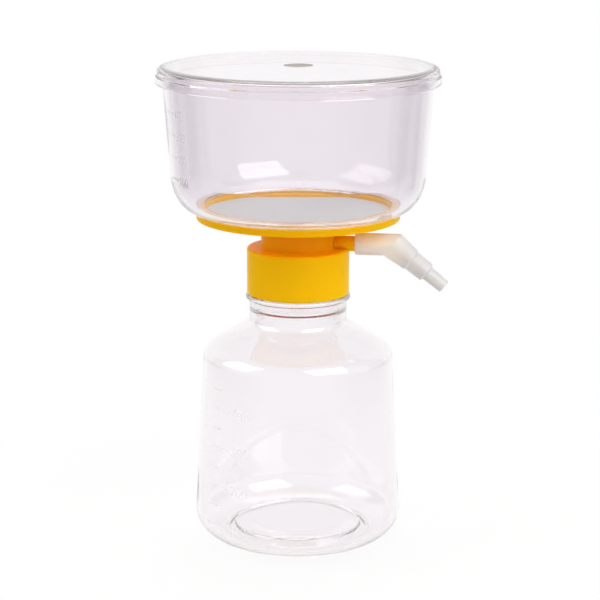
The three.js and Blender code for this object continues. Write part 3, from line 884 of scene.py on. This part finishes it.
class FILTRATION_OT_bottle(bpy.types.Operator):
    """Makes the clear receiver bottle with its threaded neck"""

    bl_idname = "filtration.bottle"
    bl_label = "Receiver bottle"

    def execute(self, context):
        s = context.scene.filtration_bottle
        thread = context.scene.filtration_thread
        levels = Levels(context.scene)
        neck = s.finish + s.neck_step
        bore, finish_bore = neck - s.neck_wall, s.finish - s.finish_wall
        foot = BOTTLE_RADIUS - s.heel
        floor_edge = foot - s.ring - s.push_up_setback
        flat = floor_edge - s.slope_width
        shoulder = BOTTLE_RADIUS - s.taper - s.shoulder_round
        fillet_centre = neck + s.neck_fillet
        arc_end = shoulder + s.shoulder_round * sin(s.slope)
        arc_end_level = s.shoulder_height + s.shoulder_round * cos(s.slope)
        fillet_foot = fillet_centre - s.neck_fillet * sin(s.slope)
        fillet_level = arc_end_level + (arc_end - fillet_foot) * tan(s.slope) + s.neck_fillet * cos(s.slope)
        opening = 90 - degrees(s.slope)
        bead = neck + s.bead_overhang - s.bead_round
        bead_middle = (levels.bead_bottom + levels.bead_top) / 2
        bore_step = levels.bead_bottom - s.bore_step
        inner_edge = floor_edge + s.floor / 4
        outside = [
            (0, s.push_up, 0),
            *arc((flat, s.push_up - s.step), (floor_edge - flat, s.step), 90, 0),
            (foot - s.ring, 0, 0.0008),
            *arc((foot, s.heel), (s.heel, s.heel), -90, 0),
            *arc((shoulder, s.shoulder_height), (s.shoulder_round, s.shoulder_round), 0, opening),
            *arc((fillet_centre, fillet_level), (s.neck_fillet, s.neck_fillet), 180 + opening, 180),
            (neck, levels.bead_bottom, 0.0004),
            *arc((bead, bead_middle), (s.bead_round, s.bead_height / 2), -90, 90),
            (s.finish, levels.bead_top, 0.0004),
            (s.finish, LIP_TOP, 0.0005),
        ]
        neck_inner = s.neck_fillet + s.neck_wall
        shoulder_inner = s.shoulder_round - s.wall
        inside = [
            (finish_bore, LIP_TOP, 0.0005),
            (finish_bore, bore_step, 0.0015),
            (bore, bore_step - (bore - finish_bore), 0.002),
            *arc((fillet_centre, fillet_level), (neck_inner, neck_inner), 180, 180 + opening),
            *arc((shoulder, s.shoulder_height), (shoulder_inner, shoulder_inner), opening, 0),
            *arc((foot, s.heel), (s.heel - s.wall, s.heel - s.floor), 0, -90),
            *arc((flat, s.push_up - s.step + s.floor), (inner_edge - flat, s.step), 0, 90),
            (0, s.push_up + s.floor, 0),
        ]
        start = levels.bead_top + thread.start

        def shift(r, z, t):
            """Thread on the neck, waves on the inside of the wall and two nubs on the floor's edge."""
            threaded = thread_ridge(r, z, t, s.finish, start, thread, 1)
            r = np.where(z > levels.bead_top + 1e-5, threaded, r)
            part = part_between(z, s.heel, s.shoulder_height)
            inner = (part > 0) & (part < 1) & (r < bottle_wall(s, z) - s.wall / 2)
            r = r + np.where(inner, s.wave * np.sin(pi * part) * waves(t, z, *BOTTLE_WAVES) / 2, 0)
            for azimuth in (s.first_nub, s.second_nub):
                along = np.angle(np.exp(1j * (t - azimuth))) * floor_edge
                near = np.exp(-((along / NUB_LENGTH) ** 2) - ((r - inner_edge) / NUB_WIDTH) ** 2)
                inner_floor = (z > s.push_up - s.step + 0.6 * s.floor) & (z < s.heel)
                z = z + np.where(inner_floor, s.nub * near, 0)
            return r, z

        outline = subdivided(filleted([*outside, *inside], False), False)
        threaded = np.nonzero(np.abs(outline[:, 0] - s.finish) < 1e-6)[0]
        outline = refined(outline, threaded[0], threaded[-1])
        shell = shells(turned(outline, BOTTLE_COLUMNS, shift))
        piece("bottle_body", shell, "clear_plastic_bottle", "receiver", "clear_plastic", "receiver_bottle")
        return {"FINISHED"}


class FILTRATION_OT_scale(bpy.types.Operator):
    """Makes the moulded marks and numerals on the bottle"""

    bl_idname = "filtration.scale"
    bl_label = "Bottle scale"

    def execute(self, context):
        s, bottle = context.scene.filtration_scale, context.scene.filtration_bottle
        place = on_wall(lambda level: bottle_wall(bottle, level), BOTTLE_RADIUS, -pi / 2)
        marks = []
        for index in range(s.marks):
            level = s.first_level + index * s.spacing
            digits_left = s.left + s.long_mark + s.digit_gap
            paths = [
                level_line(s.left, s.long_mark, level, 24),
                level_line(s.left, s.short_mark, level + s.spacing / 2, 14),
                *number_paths(VOLUME_STEP * (index + 1), digits_left, level, s.digit),
            ]
            marks += [ridge(path, s.stroke, s.relief, place) for path in paths]
        piece("bottle_scale", shells(*marks), "clear_plastic_bottle", "receiver", "clear_plastic")
        return {"FINISHED"}


# ---- Filter head ---------------------------------------------------------------------------


def on_port(points, azimuth, level):
    """Points made along +X with the port's axis at the origin, turned to the port's place."""
    x, y, z = points[..., 0], points[..., 1], points[..., 2]
    turned_x = x * cos(azimuth) - y * sin(azimuth)
    turned_y = x * sin(azimuth) + y * cos(azimuth)
    return np.stack([turned_x, turned_y, z + level], -1)


class FILTRATION_OT_head(bpy.types.Operator):
    """Makes the yellow filter head with its side port, the membrane's support and the sealing gasket"""

    bl_idname = "filtration.head"
    bl_label = "Filter head"

    def execute(self, context):
        s, thread = context.scene.filtration_head, context.scene.filtration_thread
        b = context.scene.filtration_bottle
        levels = Levels(context.scene)
        waist_bore = s.waist - s.waist_wall
        spout_bore = s.spout - s.spout_wall
        spout_end = levels.plate_underside - s.spout_length
        seat_inner = levels.opening - s.seat_width
        belly = levels.opening - s.belly
        ledge_inner = RIM_RADIUS - s.ledge_width
        corners = [
            (levels.collar_bore, COLLAR_BOTTOM, 0.0004),
            (levels.collar_radius, COLLAR_BOTTOM, s.collar_round),
            (levels.collar_radius, levels.collar_top, s.collar_round),
            (s.waist, levels.collar_top, 0.001),
            (s.waist, levels.plate_underside, 0.001),
            (belly, levels.plate_underside, 0.002),
            (belly + s.plate_slope, levels.rim_bottom, 0.001),
            (RIM_RADIUS - s.rim_draft, levels.rim_bottom, 0.0005),
            (RIM_RADIUS, levels.ledge, 0.0002),
            (ledge_inner, levels.ledge, 0.0001),
            (ledge_inner, RIM_TOP, 0.0002),
            (ledge_inner - s.tongue, RIM_TOP, 0.0002),
            (ledge_inner - s.tongue, levels.ledge, 0.0001),
            (levels.opening, levels.ledge, 0.0003),
            (levels.opening, levels.seat, 0.0001),
            (seat_inner, levels.seat, 0.0002),
            (seat_inner, levels.drain_floor + s.drain_fall, 0.0003),
            (s.spout, levels.drain_floor, 0.0004),
            (spout_bore, levels.drain_floor - s.spout_wall / 2, 0.0004),
            (spout_bore, spout_end, 0.0003),
            (s.spout, spout_end, 0.0003),
            (s.spout, levels.plate_underside, 0.0008),
            (waist_bore, levels.plate_underside, 0.0008),
            (waist_bore, levels.web_underside, 0.0003),
            (levels.collar_bore, levels.web_underside, 0.0004),
        ]
        start = levels.bead_top + thread.start - thread.pitch / 2

        def shift(r, z, t):
            """The collar's thread stands in from its bore."""
            return thread_ridge(r, z, t, levels.collar_bore, start, thread, -1), z

        outline = subdivided(filleted(corners, True), True)
        # The outline ends down the collar's bore; its rows are close together where the thread is.
        threaded = np.abs(outline[:, 0] - levels.collar_bore) < 1e-7
        threaded &= outline[:, 1] < start + thread.pitch + thread.ridge
        threaded &= np.arange(len(outline)) > len(outline) / 2
        first = np.nonzero(threaded)[0][0] - 1
        outline = refined(np.concatenate([outline, outline[:1]]), first, len(outline))[:-1]
        finish = "yellow_polypropylene", "head", "yellow_plastic", "filter_head"
        piece("head_body", shells(turned(outline, HEAD_COLUMNS, shift)), *finish)

        root = waist_bore + s.waist_wall / 2
        tube = filleted([
            (s.air_bore, root, 0),
            (s.port, root, 0),
            (s.port, levels.port_end, 0.0004),
            (s.air_bore, levels.port_end, 0.0003),
        ], True)
        points, faces = turned(subdivided(tube, True), PORT_COLUMNS)
        points = on_port(points[:, [2, 1, 0]], s.port_azimuth, levels.port_level)
        piece("head_port", shells((points, faces)), *finish)
        piece("head_support", shells(*self.support(s, levels, seat_inner)), *finish)

        inner, outer = b.finish - b.finish_wall, GASKET_HIGH.x
        low, high = GASKET_LOW.z, GASKET_HIGH.z
        ring = [(inner, low, 0.0002), (outer, low, 0.0002), (outer, high, 0.0002), (inner, high, 0.0002)]
        piece("gasket_ring", solid_of(ring, 120), "silicone_rubber", "seal", "seal_rubber", "sealing_gasket")
        return {"FINISHED"}

    @staticmethod
    def support(s, levels, seat_inner):
        """Low ring segments between the drain channels: a rounded bar bent along each arc."""
        spacing = (seat_inner - s.spout) / (s.rings + 1)
        foot, top = levels.drain_floor - s.plate_floor / 2, levels.seat
        half = s.support_width / 2
        sector = 2 * pi / s.channels
        bars = []
        for ring in range(1, s.rings + 1):
            radius = s.spout + spacing * ring
            section = filleted([
                (radius - half, foot, 0),
                (radius + half, foot, 0),
                (radius + half, top, 0.0002),
                (radius - half, top, 0.0002),
            ], True)
            clear_of = asin(s.channel / 2 / radius)
            for begin in sector * np.arange(s.channels) + clear_of:
                t = np.linspace(begin, begin + sector - 2 * clear_of, 10)[:, None]
                r, z = section[None, :, 0], section[None, :, 1] + 0 * t
                bars.append(capped(np.stack([r * np.cos(t), r * np.sin(t), z], -1)))
        return bars


class FILTRATION_OT_membrane(bpy.types.Operator):
    """Makes the filter membrane"""

    bl_idname = "filtration.membrane"
    bl_label = "Membrane"

    def execute(self, context):
        low, high, radius = MEMBRANE_LOW.z, MEMBRANE_HIGH.z, MEMBRANE_HIGH.x
        corners = [(0, low, 0), (radius, low, 0.0001), (radius, high, 0.0001), (0, high, 0)]
        disc = solid_of(corners, 160, 0.002)
        piece("membrane_disc", disc, "filter_membrane", "head", "membrane_white", "membrane")
        return {"FINISHED"}


# ---- Funnel and lid ------------------------------------------------------------------------


class FILTRATION_OT_funnel(bpy.types.Operator):
    """Makes the clear funnel and its moulded marks"""

    bl_idname = "filtration.funnel"
    bl_label = "Funnel"

    def execute(self, context):
        s, h = context.scene.filtration_funnel, context.scene.filtration_head
        levels = Levels(context.scene)
        curve = s.corner_height + s.corner_sag
        foot_turn = asin(s.corner_height / curve)
        width = s.flare / (1 - cos(foot_turn))
        centre = levels.funnel_corner - width
        corner_centre, corner_radii = (centre, levels.corner_top), (width, curve)
        foot, groove_top = levels.ledge + s.weld, RIM_TOP + s.weld
        groove_outer = RIM_RADIUS - h.ledge_width + s.weld
        groove_inner = RIM_RADIUS - h.ledge_width - h.tongue - s.weld
        mouth = levels.opening + s.setback
        corners = [
            (groove_outer, foot, 0),
            (levels.funnel_foot - 0.0001, foot, 0),
            *arc(corner_centre, corner_radii, -degrees(foot_turn), 0),
            (FUNNEL_MOUTH, FUNNEL_TOP, 0.0005),
            (FUNNEL_MOUTH - s.wall, FUNNEL_TOP, 0.0005),
            *thickened(corner_centre, corner_radii, foot_turn, s.wall, s.foot_wall),
            (mouth, levels.ledge + s.bond_gap + s.foot_wall, 0.0003),
            (mouth, foot, 0.0002),
            (groove_inner, foot, 0),
            (groove_inner, groove_top, 0),
            (groove_outer, groove_top, 0),
        ]

        def shift(r, z, t):
            """Slight waves on the inside of the side wall."""
            part = part_between(z, levels.corner_top, FUNNEL_TOP)
            inner = (part > 0) & (r < levels.funnel_wall(z) - s.wall / 2)
            return r + np.where(inner, s.wave * np.sin(pi * part) * waves(t, z, *FUNNEL_WAVES), 0), z

        outline = subdivided(filleted(corners, True), True)
        finish = "clear_plastic_funnel", "head", "clear_plastic", "funnel"
        piece("funnel_body", shells(turned(outline, CLEAR_COLUMNS, shift)), *finish)
        piece("funnel_scale", shells(*self.marks(context.scene.filtration_scale, levels)), *finish)
        return {"FINISHED"}

    @staticmethod
    def marks(s, levels):
        """Moulded marks and numerals on the side wall."""
        place = on_wall(levels.funnel_wall, levels.funnel_corner, s.funnel_azimuth)
        marks = []
        for index in range(s.marks):
            level = FUNNEL_BOTTOM + s.funnel_first + index * s.funnel_spacing
            digits_left = s.funnel_left + s.funnel_mark + s.funnel_digit_gap
            paths = [
                level_line(s.funnel_left, s.funnel_mark, level, 16),
                *number_paths(VOLUME_STEP * (index + 1), digits_left, level, s.funnel_digit),
            ]
            marks += [ridge(path, s.stroke, s.relief / 2, place) for path in paths]
        return marks


class FILTRATION_OT_lid(bpy.types.Operator):
    """Makes the clear lid with a dark disc, painted shade, in the recess of its moulding gate"""

    bl_idname = "filtration.lid"
    bl_label = "Lid"

    def execute(self, context):
        s = context.scene.filtration_lid
        underside = LID_TOP - s.plate
        bore = FUNNEL_MOUTH + s.fit
        radius = bore + s.skirt_wall
        corners = [
            (0, underside, 0),
            (bore, underside, 0.0004),
            (bore, LID_BOTTOM, 0.0002),
            (LID_LIP_RADIUS - s.lip_chamfer, LID_BOTTOM, 0.0002),
            (LID_LIP_RADIUS, LID_BOTTOM + s.lip_chamfer, 0.0002),
            (LID_LIP_RADIUS, LID_BOTTOM + s.lip_height - s.lip_slope, 0.0003),
            (radius, LID_BOTTOM + s.lip_height, 0.0004),
            *arc((radius - s.crown_width, LID_TOP - s.crown_height), (s.crown_width, s.crown_height), 0, 90),
            (s.gate, LID_TOP, 0),
            (s.gate, LID_TOP - s.gate_depth, 0),
            (0, LID_TOP - s.gate_depth, 0),
        ]
        finish = "cover", "clear_plastic", "lid"
        piece("lid_body", solid_of(corners, CLEAR_COLUMNS), "clear_plastic_lid", *finish)
        # The dark disc, painted shade, stands clear of the recess's floor and side, and of the top's level.
        rim, low, high = s.gate - 0.0001, LID_TOP - 0.8 * s.gate_depth, LID_TOP - 0.2 * s.gate_depth
        mark = solid_of([(0, low, 0), (rim, low, 0), (rim, high, 0.00005), (0, high, 0)], 96)
        piece("lid_gate_disc_painted_dark", mark, "gate_disc_painted_dark", *finish)
        return {"FINISHED"}


# ---- Hose connector ------------------------------------------------------------------------

# Points of the sleeve's rounded open end: distance from the end, and how much narrower it is there.
SLEEVE_EDGE = np.array([(0, 0.00024), (0.0002, 0.00012), (0.0008, 0)])


def rings_of(x, along, lean, tall, broad):
    """Rows of x, along, lean, tall and broad, where a single number stands for its whole column."""
    return np.stack(np.broadcast_arrays(x, along, lean, tall, broad), -1)


class FILTRATION_OT_connector(bpy.types.Operator):
    """Makes the translucent hose elbow with its stepped arm"""

    bl_idname = "filtration.connector"
    bl_label = "Hose connector"

    def execute(self, context):
        s, h = context.scene.filtration_connector, context.scene.filtration_head
        levels = Levels(context.scene)
        socket = h.port + s.swivel_fit
        sleeve = socket + s.sleeve_wall
        start, knee = levels.sleeve_start, levels.knee
        socket_end = levels.port_end + s.socket_gap
        first, second, third = np.cumsum([s.first, s.second, s.third])
        root, first_end, second_start, second_end, third_start, tip = s.radii
        arm = filleted([
            (0.0, root, 0),
            (first, first_end, 0.0003),
            (first + s.chamfer, second_start, 0.0003),
            (second, second_end, 0.0003),
            (second + s.chamfer, third_start, 0.0003),
            (third, tip, 0.0004),
            (third, h.air_bore, 0.0003),
        ], False)
        out = np.linspace(start + 0.001, knee, 26)
        out_lean = s.slope * part_between(out, knee - s.bend, knee)
        along, radius = arm[:, 0], arm[:, 1]
        blend = smooth(np.clip(along / s.knee_blend, 0, 1))
        broad = sleeve * (1 - blend) + radius * blend
        tall = np.minimum(sleeve / cos(s.slope) * (1 - blend) + radius * blend, s.knee_height)
        edge, edge_radius = start + SLEEVE_EDGE[:, 0], sleeve - SLEEVE_EDGE[:, 1]
        back = np.linspace(knee, socket_end, 8)
        back_lean = s.slope * part_between(back, socket_end, knee)
        widening = h.air_bore + (socket - h.air_bore) * np.linspace(0.2, 1, 5)
        # From the sleeve's open end out to the arm's tip, and back through the bores to the open end.
        table = np.concatenate([
            rings_of(edge, 0, 0, edge_radius, edge_radius),
            rings_of(out, 0, out_lean, sleeve / np.cos(out_lean), sleeve),
            rings_of(knee, along, s.slope, np.where(along < s.knee_blend, tall, radius), broad),
            rings_of(knee, np.linspace(third - 0.0004, 0, 16), s.slope, h.air_bore, h.air_bore),
            rings_of(back, 0, back_lean, h.air_bore / np.cos(back_lean), h.air_bore),
            rings_of(socket_end, 0, 0, widening, widening),
            rings_of(np.linspace(socket_end - 0.0004, start + 0.0003, 12), 0, 0, socket, socket),
            rings_of([start], 0, 0, socket + 0.0002, socket + 0.0002),
        ])
        x, along, lean, tall, broad = table.T[:, :, None]
        t = np.linspace(0, 2 * pi, 64, endpoint=False)[None, :]
        up, side = tall * np.cos(t), broad * np.sin(t)
        # A section leaning by an angle has its own up and its own way forward.
        points = np.stack([
            x + along * np.cos(s.slope) + up * np.sin(lean),
            side + 0 * x,
            -along * np.sin(s.slope) + up * np.cos(lean),
        ], -1)
        elbow = shells(swept(on_port(points, h.port_azimuth, levels.port_level)))
        piece("connector_elbow", elbow, "natural_polypropylene", "elbow", "milky_plastic", "hose_connector")
        return {"FINISHED"}


# ---- Finishes and studio -------------------------------------------------------------------


class FILTRATION_OT_finishes(bpy.types.Operator):
    """Makes the materials of the unit"""

    bl_idname = "filtration.finishes"
    bl_label = "Finishes"

    def execute(self, context):
        s = context.scene.filtration_finish
        clear_plastic("clear_plastic_bottle", s.bottle, s.depth, s.bottle_density, 26.0)
        clear_plastic("clear_plastic_funnel", s.funnel, s.depth, s.funnel_density, 18.0)
        clear_plastic("clear_plastic_lid", s.lid, s.depth, s.lid_density, 14.0)
        levels = Levels(context.scene)
        # Levels between which the head's colour is painted with shade.
        shade_levels = levels.collar_top, levels.plate_underside
        yellow_plastic(s.yellow, s.orange, s.dense, shade_levels, levels.collar_radius)
        membrane_sheet(s.membrane)
        milky_plastic(s.sleeve, s.arm, levels.port_end)
        seal_rubber(s.rubber)
        gate_mark(s.gate)
        return {"FINISHED"}


# Each lamp: name, degrees to the right of the camera, elevation in degrees, distance, width, watts.
LAMPS = (
    ("lamp_right", 42, 37, 1.1, 0.85, 7.9),
    ("lamp_left", -85, 34, 1.1, 0.85, 4.3),
    ("lamp_top", 170, 72, 1.2, 0.9, 4.6),
)
FLOOR_RADIUS = 6.0
SENSOR_WIDTH = 36.0
# How often light may turn inside clear plastic.
CLEAR_BOUNCES = 160


def towards(tree, place, azimuth):
    """Cosine of the level angle between a place, seen from the axis, and an azimuth."""
    unit = vector(tree, "NORMALIZE", vector(tree, "MULTIPLY", place, (1, 1, 0)))
    return vector(tree, "DOT_PRODUCT", unit, (cos(azimuth), sin(azimuth), 0), result="Value")


def surround_level(tree, place, studio, gloss):
    """How bright a place of the surroundings looks.

    It is 1 to the camera, and falls to gloss at both sides of the studio in mirrored rays. Rays through
    glass see 1 but for two dark cards, behind to the left and right, and see all of it darker when they have
    turned many times inside the clear plastic.
    """
    left, right = (towards(tree, place, studio.azimuth + pi + side * studio.card_turn) for side in (-1, 1))
    far = remap(tree, vector(tree, "LENGTH", place, result="Value"), 0.0, 1.0, 0.2, 0.5)
    across = towards(tree, place, studio.azimuth + pi / 2)
    aside = combined(tree, "MULTIPLY", far, combined(tree, "MULTIPLY", across, across))
    sides = remap(tree, aside, 1.0, gloss, 0.25, 0.75)
    nearest = combined(tree, "MULTIPLY", far, combined(tree, "MAXIMUM", left, right))
    cards = remap(tree, nearest, 1.0, studio.card_level, 0.94, 0.975)
    rays = add(tree, "ShaderNodeLightPath").outputs
    cards = combined(tree, "MULTIPLY", cards, remap(tree, rays["Ray Depth"], 1.0, 0.4, 9, 30))
    chosen = remap(tree, rays["Is Transmission Ray"], sides, cards, 0, 1)
    return combined(tree, "MAXIMUM", chosen, rays["Is Camera Ray"])


def seen_rays(tree):
    """1 for rays from the camera, from gloss and through glass, and 0 for rays that gather fill light."""
    rays = add(tree, "ShaderNodeLightPath").outputs
    seen = combined(tree, "ADD", rays["Is Camera Ray"], rays["Is Glossy Ray"], clamp=True)
    seen = combined(tree, "ADD", seen, rays["Is Transmission Ray"], clamp=True)
    return combined(tree, "SUBTRACT", seen, rays["Diffuse Depth"], clamp=True)


class FILTRATION_OT_studio(bpy.types.Operator):
    """Makes the floor, the white surroundings, the lamps and the camera"""

    bl_idname = "filtration.studio"
    bl_label = "Studio"

    def execute(self, context):
        s = context.scene.filtration_studio
        self.floor(s)
        self.surroundings(context.scene, s)
        for lamp in LAMPS:
            self.lamp(s, *lamp)
        self.camera(context.scene, s)
        context.scene.view_settings.view_transform = "Standard"
        context.scene.cycles.max_bounces = CLEAR_BOUNCES
        context.scene.cycles.transmission_bounces = CLEAR_BOUNCES
        context.scene.cycles.glossy_bounces = CLEAR_BOUNCES
        context.scene.cycles.transparent_max_bounces = 32
        return {"FINISHED"}

    @staticmethod
    def floor(s):
        """A pale round floor that fades to white away from the unit."""
        material, tree, output = new_material("studio_floor")
        place = object_place(tree)
        pale = add(
            tree, "ShaderNodeBsdfPrincipled", Roughness=0.7, Base_Color=(0.93, 0.93, 0.93),
            Normal=bump(tree, noise(tree, 400.0), 0.1, 0.0002),
        )
        white = add(tree, "ShaderNodeEmission", Strength=surround_level(tree, place, s, s.gloss))
        reach = vector(tree, "LENGTH", place, result="Value")
        fade = remap(tree, reach, 1 - s.floor_share, 1, 0.25 * s.floor_reach, s.floor_reach)
        both = combined(tree, "MULTIPLY", fade, seen_rays(tree))
        mix = add(tree, "ShaderNodeMixShader", both, pale.outputs[0], white.outputs[0])
        feed(tree, output.inputs["Surface"], mix.outputs[0])
        t = np.linspace(0, 2 * pi, 96, endpoint=False)
        rim = np.stack([FLOOR_RADIUS * np.cos(t), FLOOR_RADIUS * np.sin(t), 0 * t], -1)
        points = np.concatenate([[[0, 0, 0]], rim])
        mesh = bpy.data.meshes.new("studio_floor")
        mesh.from_pydata(points.tolist(), [], fan_faces(0, np.arange(1, 97), True).tolist())
        mesh.materials.append(material)
        placed("studio_floor", mesh)

    @staticmethod
    def surroundings(scene, s):
        """White to the camera, with a dimmer ceiling, dark cards in glass, and a fill light."""
        scene.world = bpy.data.worlds.new("studio")
        scene.world.use_nodes = True
        tree = scene.world.node_tree
        tree.nodes.clear()
        place = add(tree, "ShaderNodeTexCoord").outputs["Generated"]
        ceiling = remap(tree, add(tree, "ShaderNodeSeparateXYZ", place).outputs["Z"], 1.0, 0.85, 0.35, 0.8)
        camera = add(tree, "ShaderNodeLightPath").outputs["Is Camera Ray"]
        ceiling = combined(tree, "MAXIMUM", ceiling, camera)
        level = combined(tree, "MULTIPLY", surround_level(tree, place, s, 1.0), ceiling)
        strength = remap(tree, seen_rays(tree), s.fill, level, 0, 1)
        back = add(tree, "ShaderNodeBackground", Color=(1, 1, 1), Strength=strength)
        add(tree, "ShaderNodeOutputWorld", Surface=back.outputs[0])

    @staticmethod
    def lamp(s, name, beside, elevation, distance, width, power):
        """A square soft lamp, beside degrees to the right of the camera, looking at the unit's middle."""
        t, e = s.azimuth + radians(beside), radians(elevation)
        aim = Vector((0, 0, s.aim_height))
        place = aim + distance * Vector((cos(e) * cos(t), cos(e) * sin(t), sin(e)))
        light = bpy.data.lights.new(name, "AREA")
        light.size, light.energy = width, power
        made = placed(name, light)
        made.location = place
        made.rotation_euler = (aim - place).to_track_quat("-Z", "Y").to_euler()

    @staticmethod
    def camera(scene, s):
        """The camera at its azimuth, elevation and distance, rolled a little about its line of sight."""
        away = Vector((cos(s.azimuth), sin(s.azimuth), 0))
        right = Vector((-sin(s.azimuth), cos(s.azimuth), 0))
        aim = right * s.aim_side + Vector((0, 0, s.aim_height))
        back = away * cos(s.elevation) + Vector((0, 0, sin(s.elevation)))
        up = back.cross(right)
        turn = Matrix((right, up, back)).transposed().to_4x4() @ Matrix.Rotation(s.roll, 4, "Z")
        data = bpy.data.cameras.new("camera")
        data.lens, data.sensor_width, data.clip_start = s.lens, SENSOR_WIDTH, 0.01
        made = placed("camera", data)
        made.matrix_world = Matrix.Translation(aim + back * s.distance) @ turn
        scene.camera = made


OPERATORS = (
    FILTRATION_OT_finishes,
    FILTRATION_OT_bottle,
    FILTRATION_OT_scale,
    FILTRATION_OT_head,
    FILTRATION_OT_membrane,
    FILTRATION_OT_funnel,
    FILTRATION_OT_lid,
    FILTRATION_OT_connector,
    FILTRATION_OT_studio,
)


class FILTRATION_PT_panel(bpy.types.Panel):
    """Lists the operators in the order in which they run, and the sizes and colours below them"""

    bl_idname = "FILTRATION_PT_panel"
    bl_label = "Filtration unit"
    bl_space_type = "VIEW_3D"
    bl_region_type = "UI"
    bl_category = "Filtration"

    def draw(self, context):
        for operator in OPERATORS:
            self.layout.operator(operator.bl_idname)
        for name, group in GROUPS.items():
            box = self.layout.box()
            box.label(text=group.__doc__)
            for value in group.__annotations__:
                box.prop(getattr(context.scene, name), value)


def register():
    """Registers the property groups, operators and panel."""
    for group in GROUPS.values():
        bpy.utils.register_class(group)
    for name, group in GROUPS.items():
        setattr(bpy.types.Scene, name, PointerProperty(type=group))
    for operator in OPERATORS:
        bpy.utils.register_class(operator)
    bpy.utils.register_class(FILTRATION_PT_panel)


def unregister():
    """Takes them away again."""
    bpy.utils.unregister_class(FILTRATION_PT_panel)
    for operator in reversed(OPERATORS):
        bpy.utils.unregister_class(operator)
    for name in GROUPS:
        delattr(bpy.types.Scene, name)
    for group in reversed(GROUPS.values()):
        bpy.utils.unregister_class(group)


def main():
    """Makes the unit and the studio."""
    register()
    bpy.ops.filtration.finishes()
    bpy.ops.filtration.bottle()
    bpy.ops.filtration.scale()
    bpy.ops.filtration.head()
    bpy.ops.filtration.membrane()
    bpy.ops.filtration.funnel()
    bpy.ops.filtration.lid()
    bpy.ops.filtration.connector()
    bpy.ops.filtration.studio()


if __name__ == "__main__":
    main()
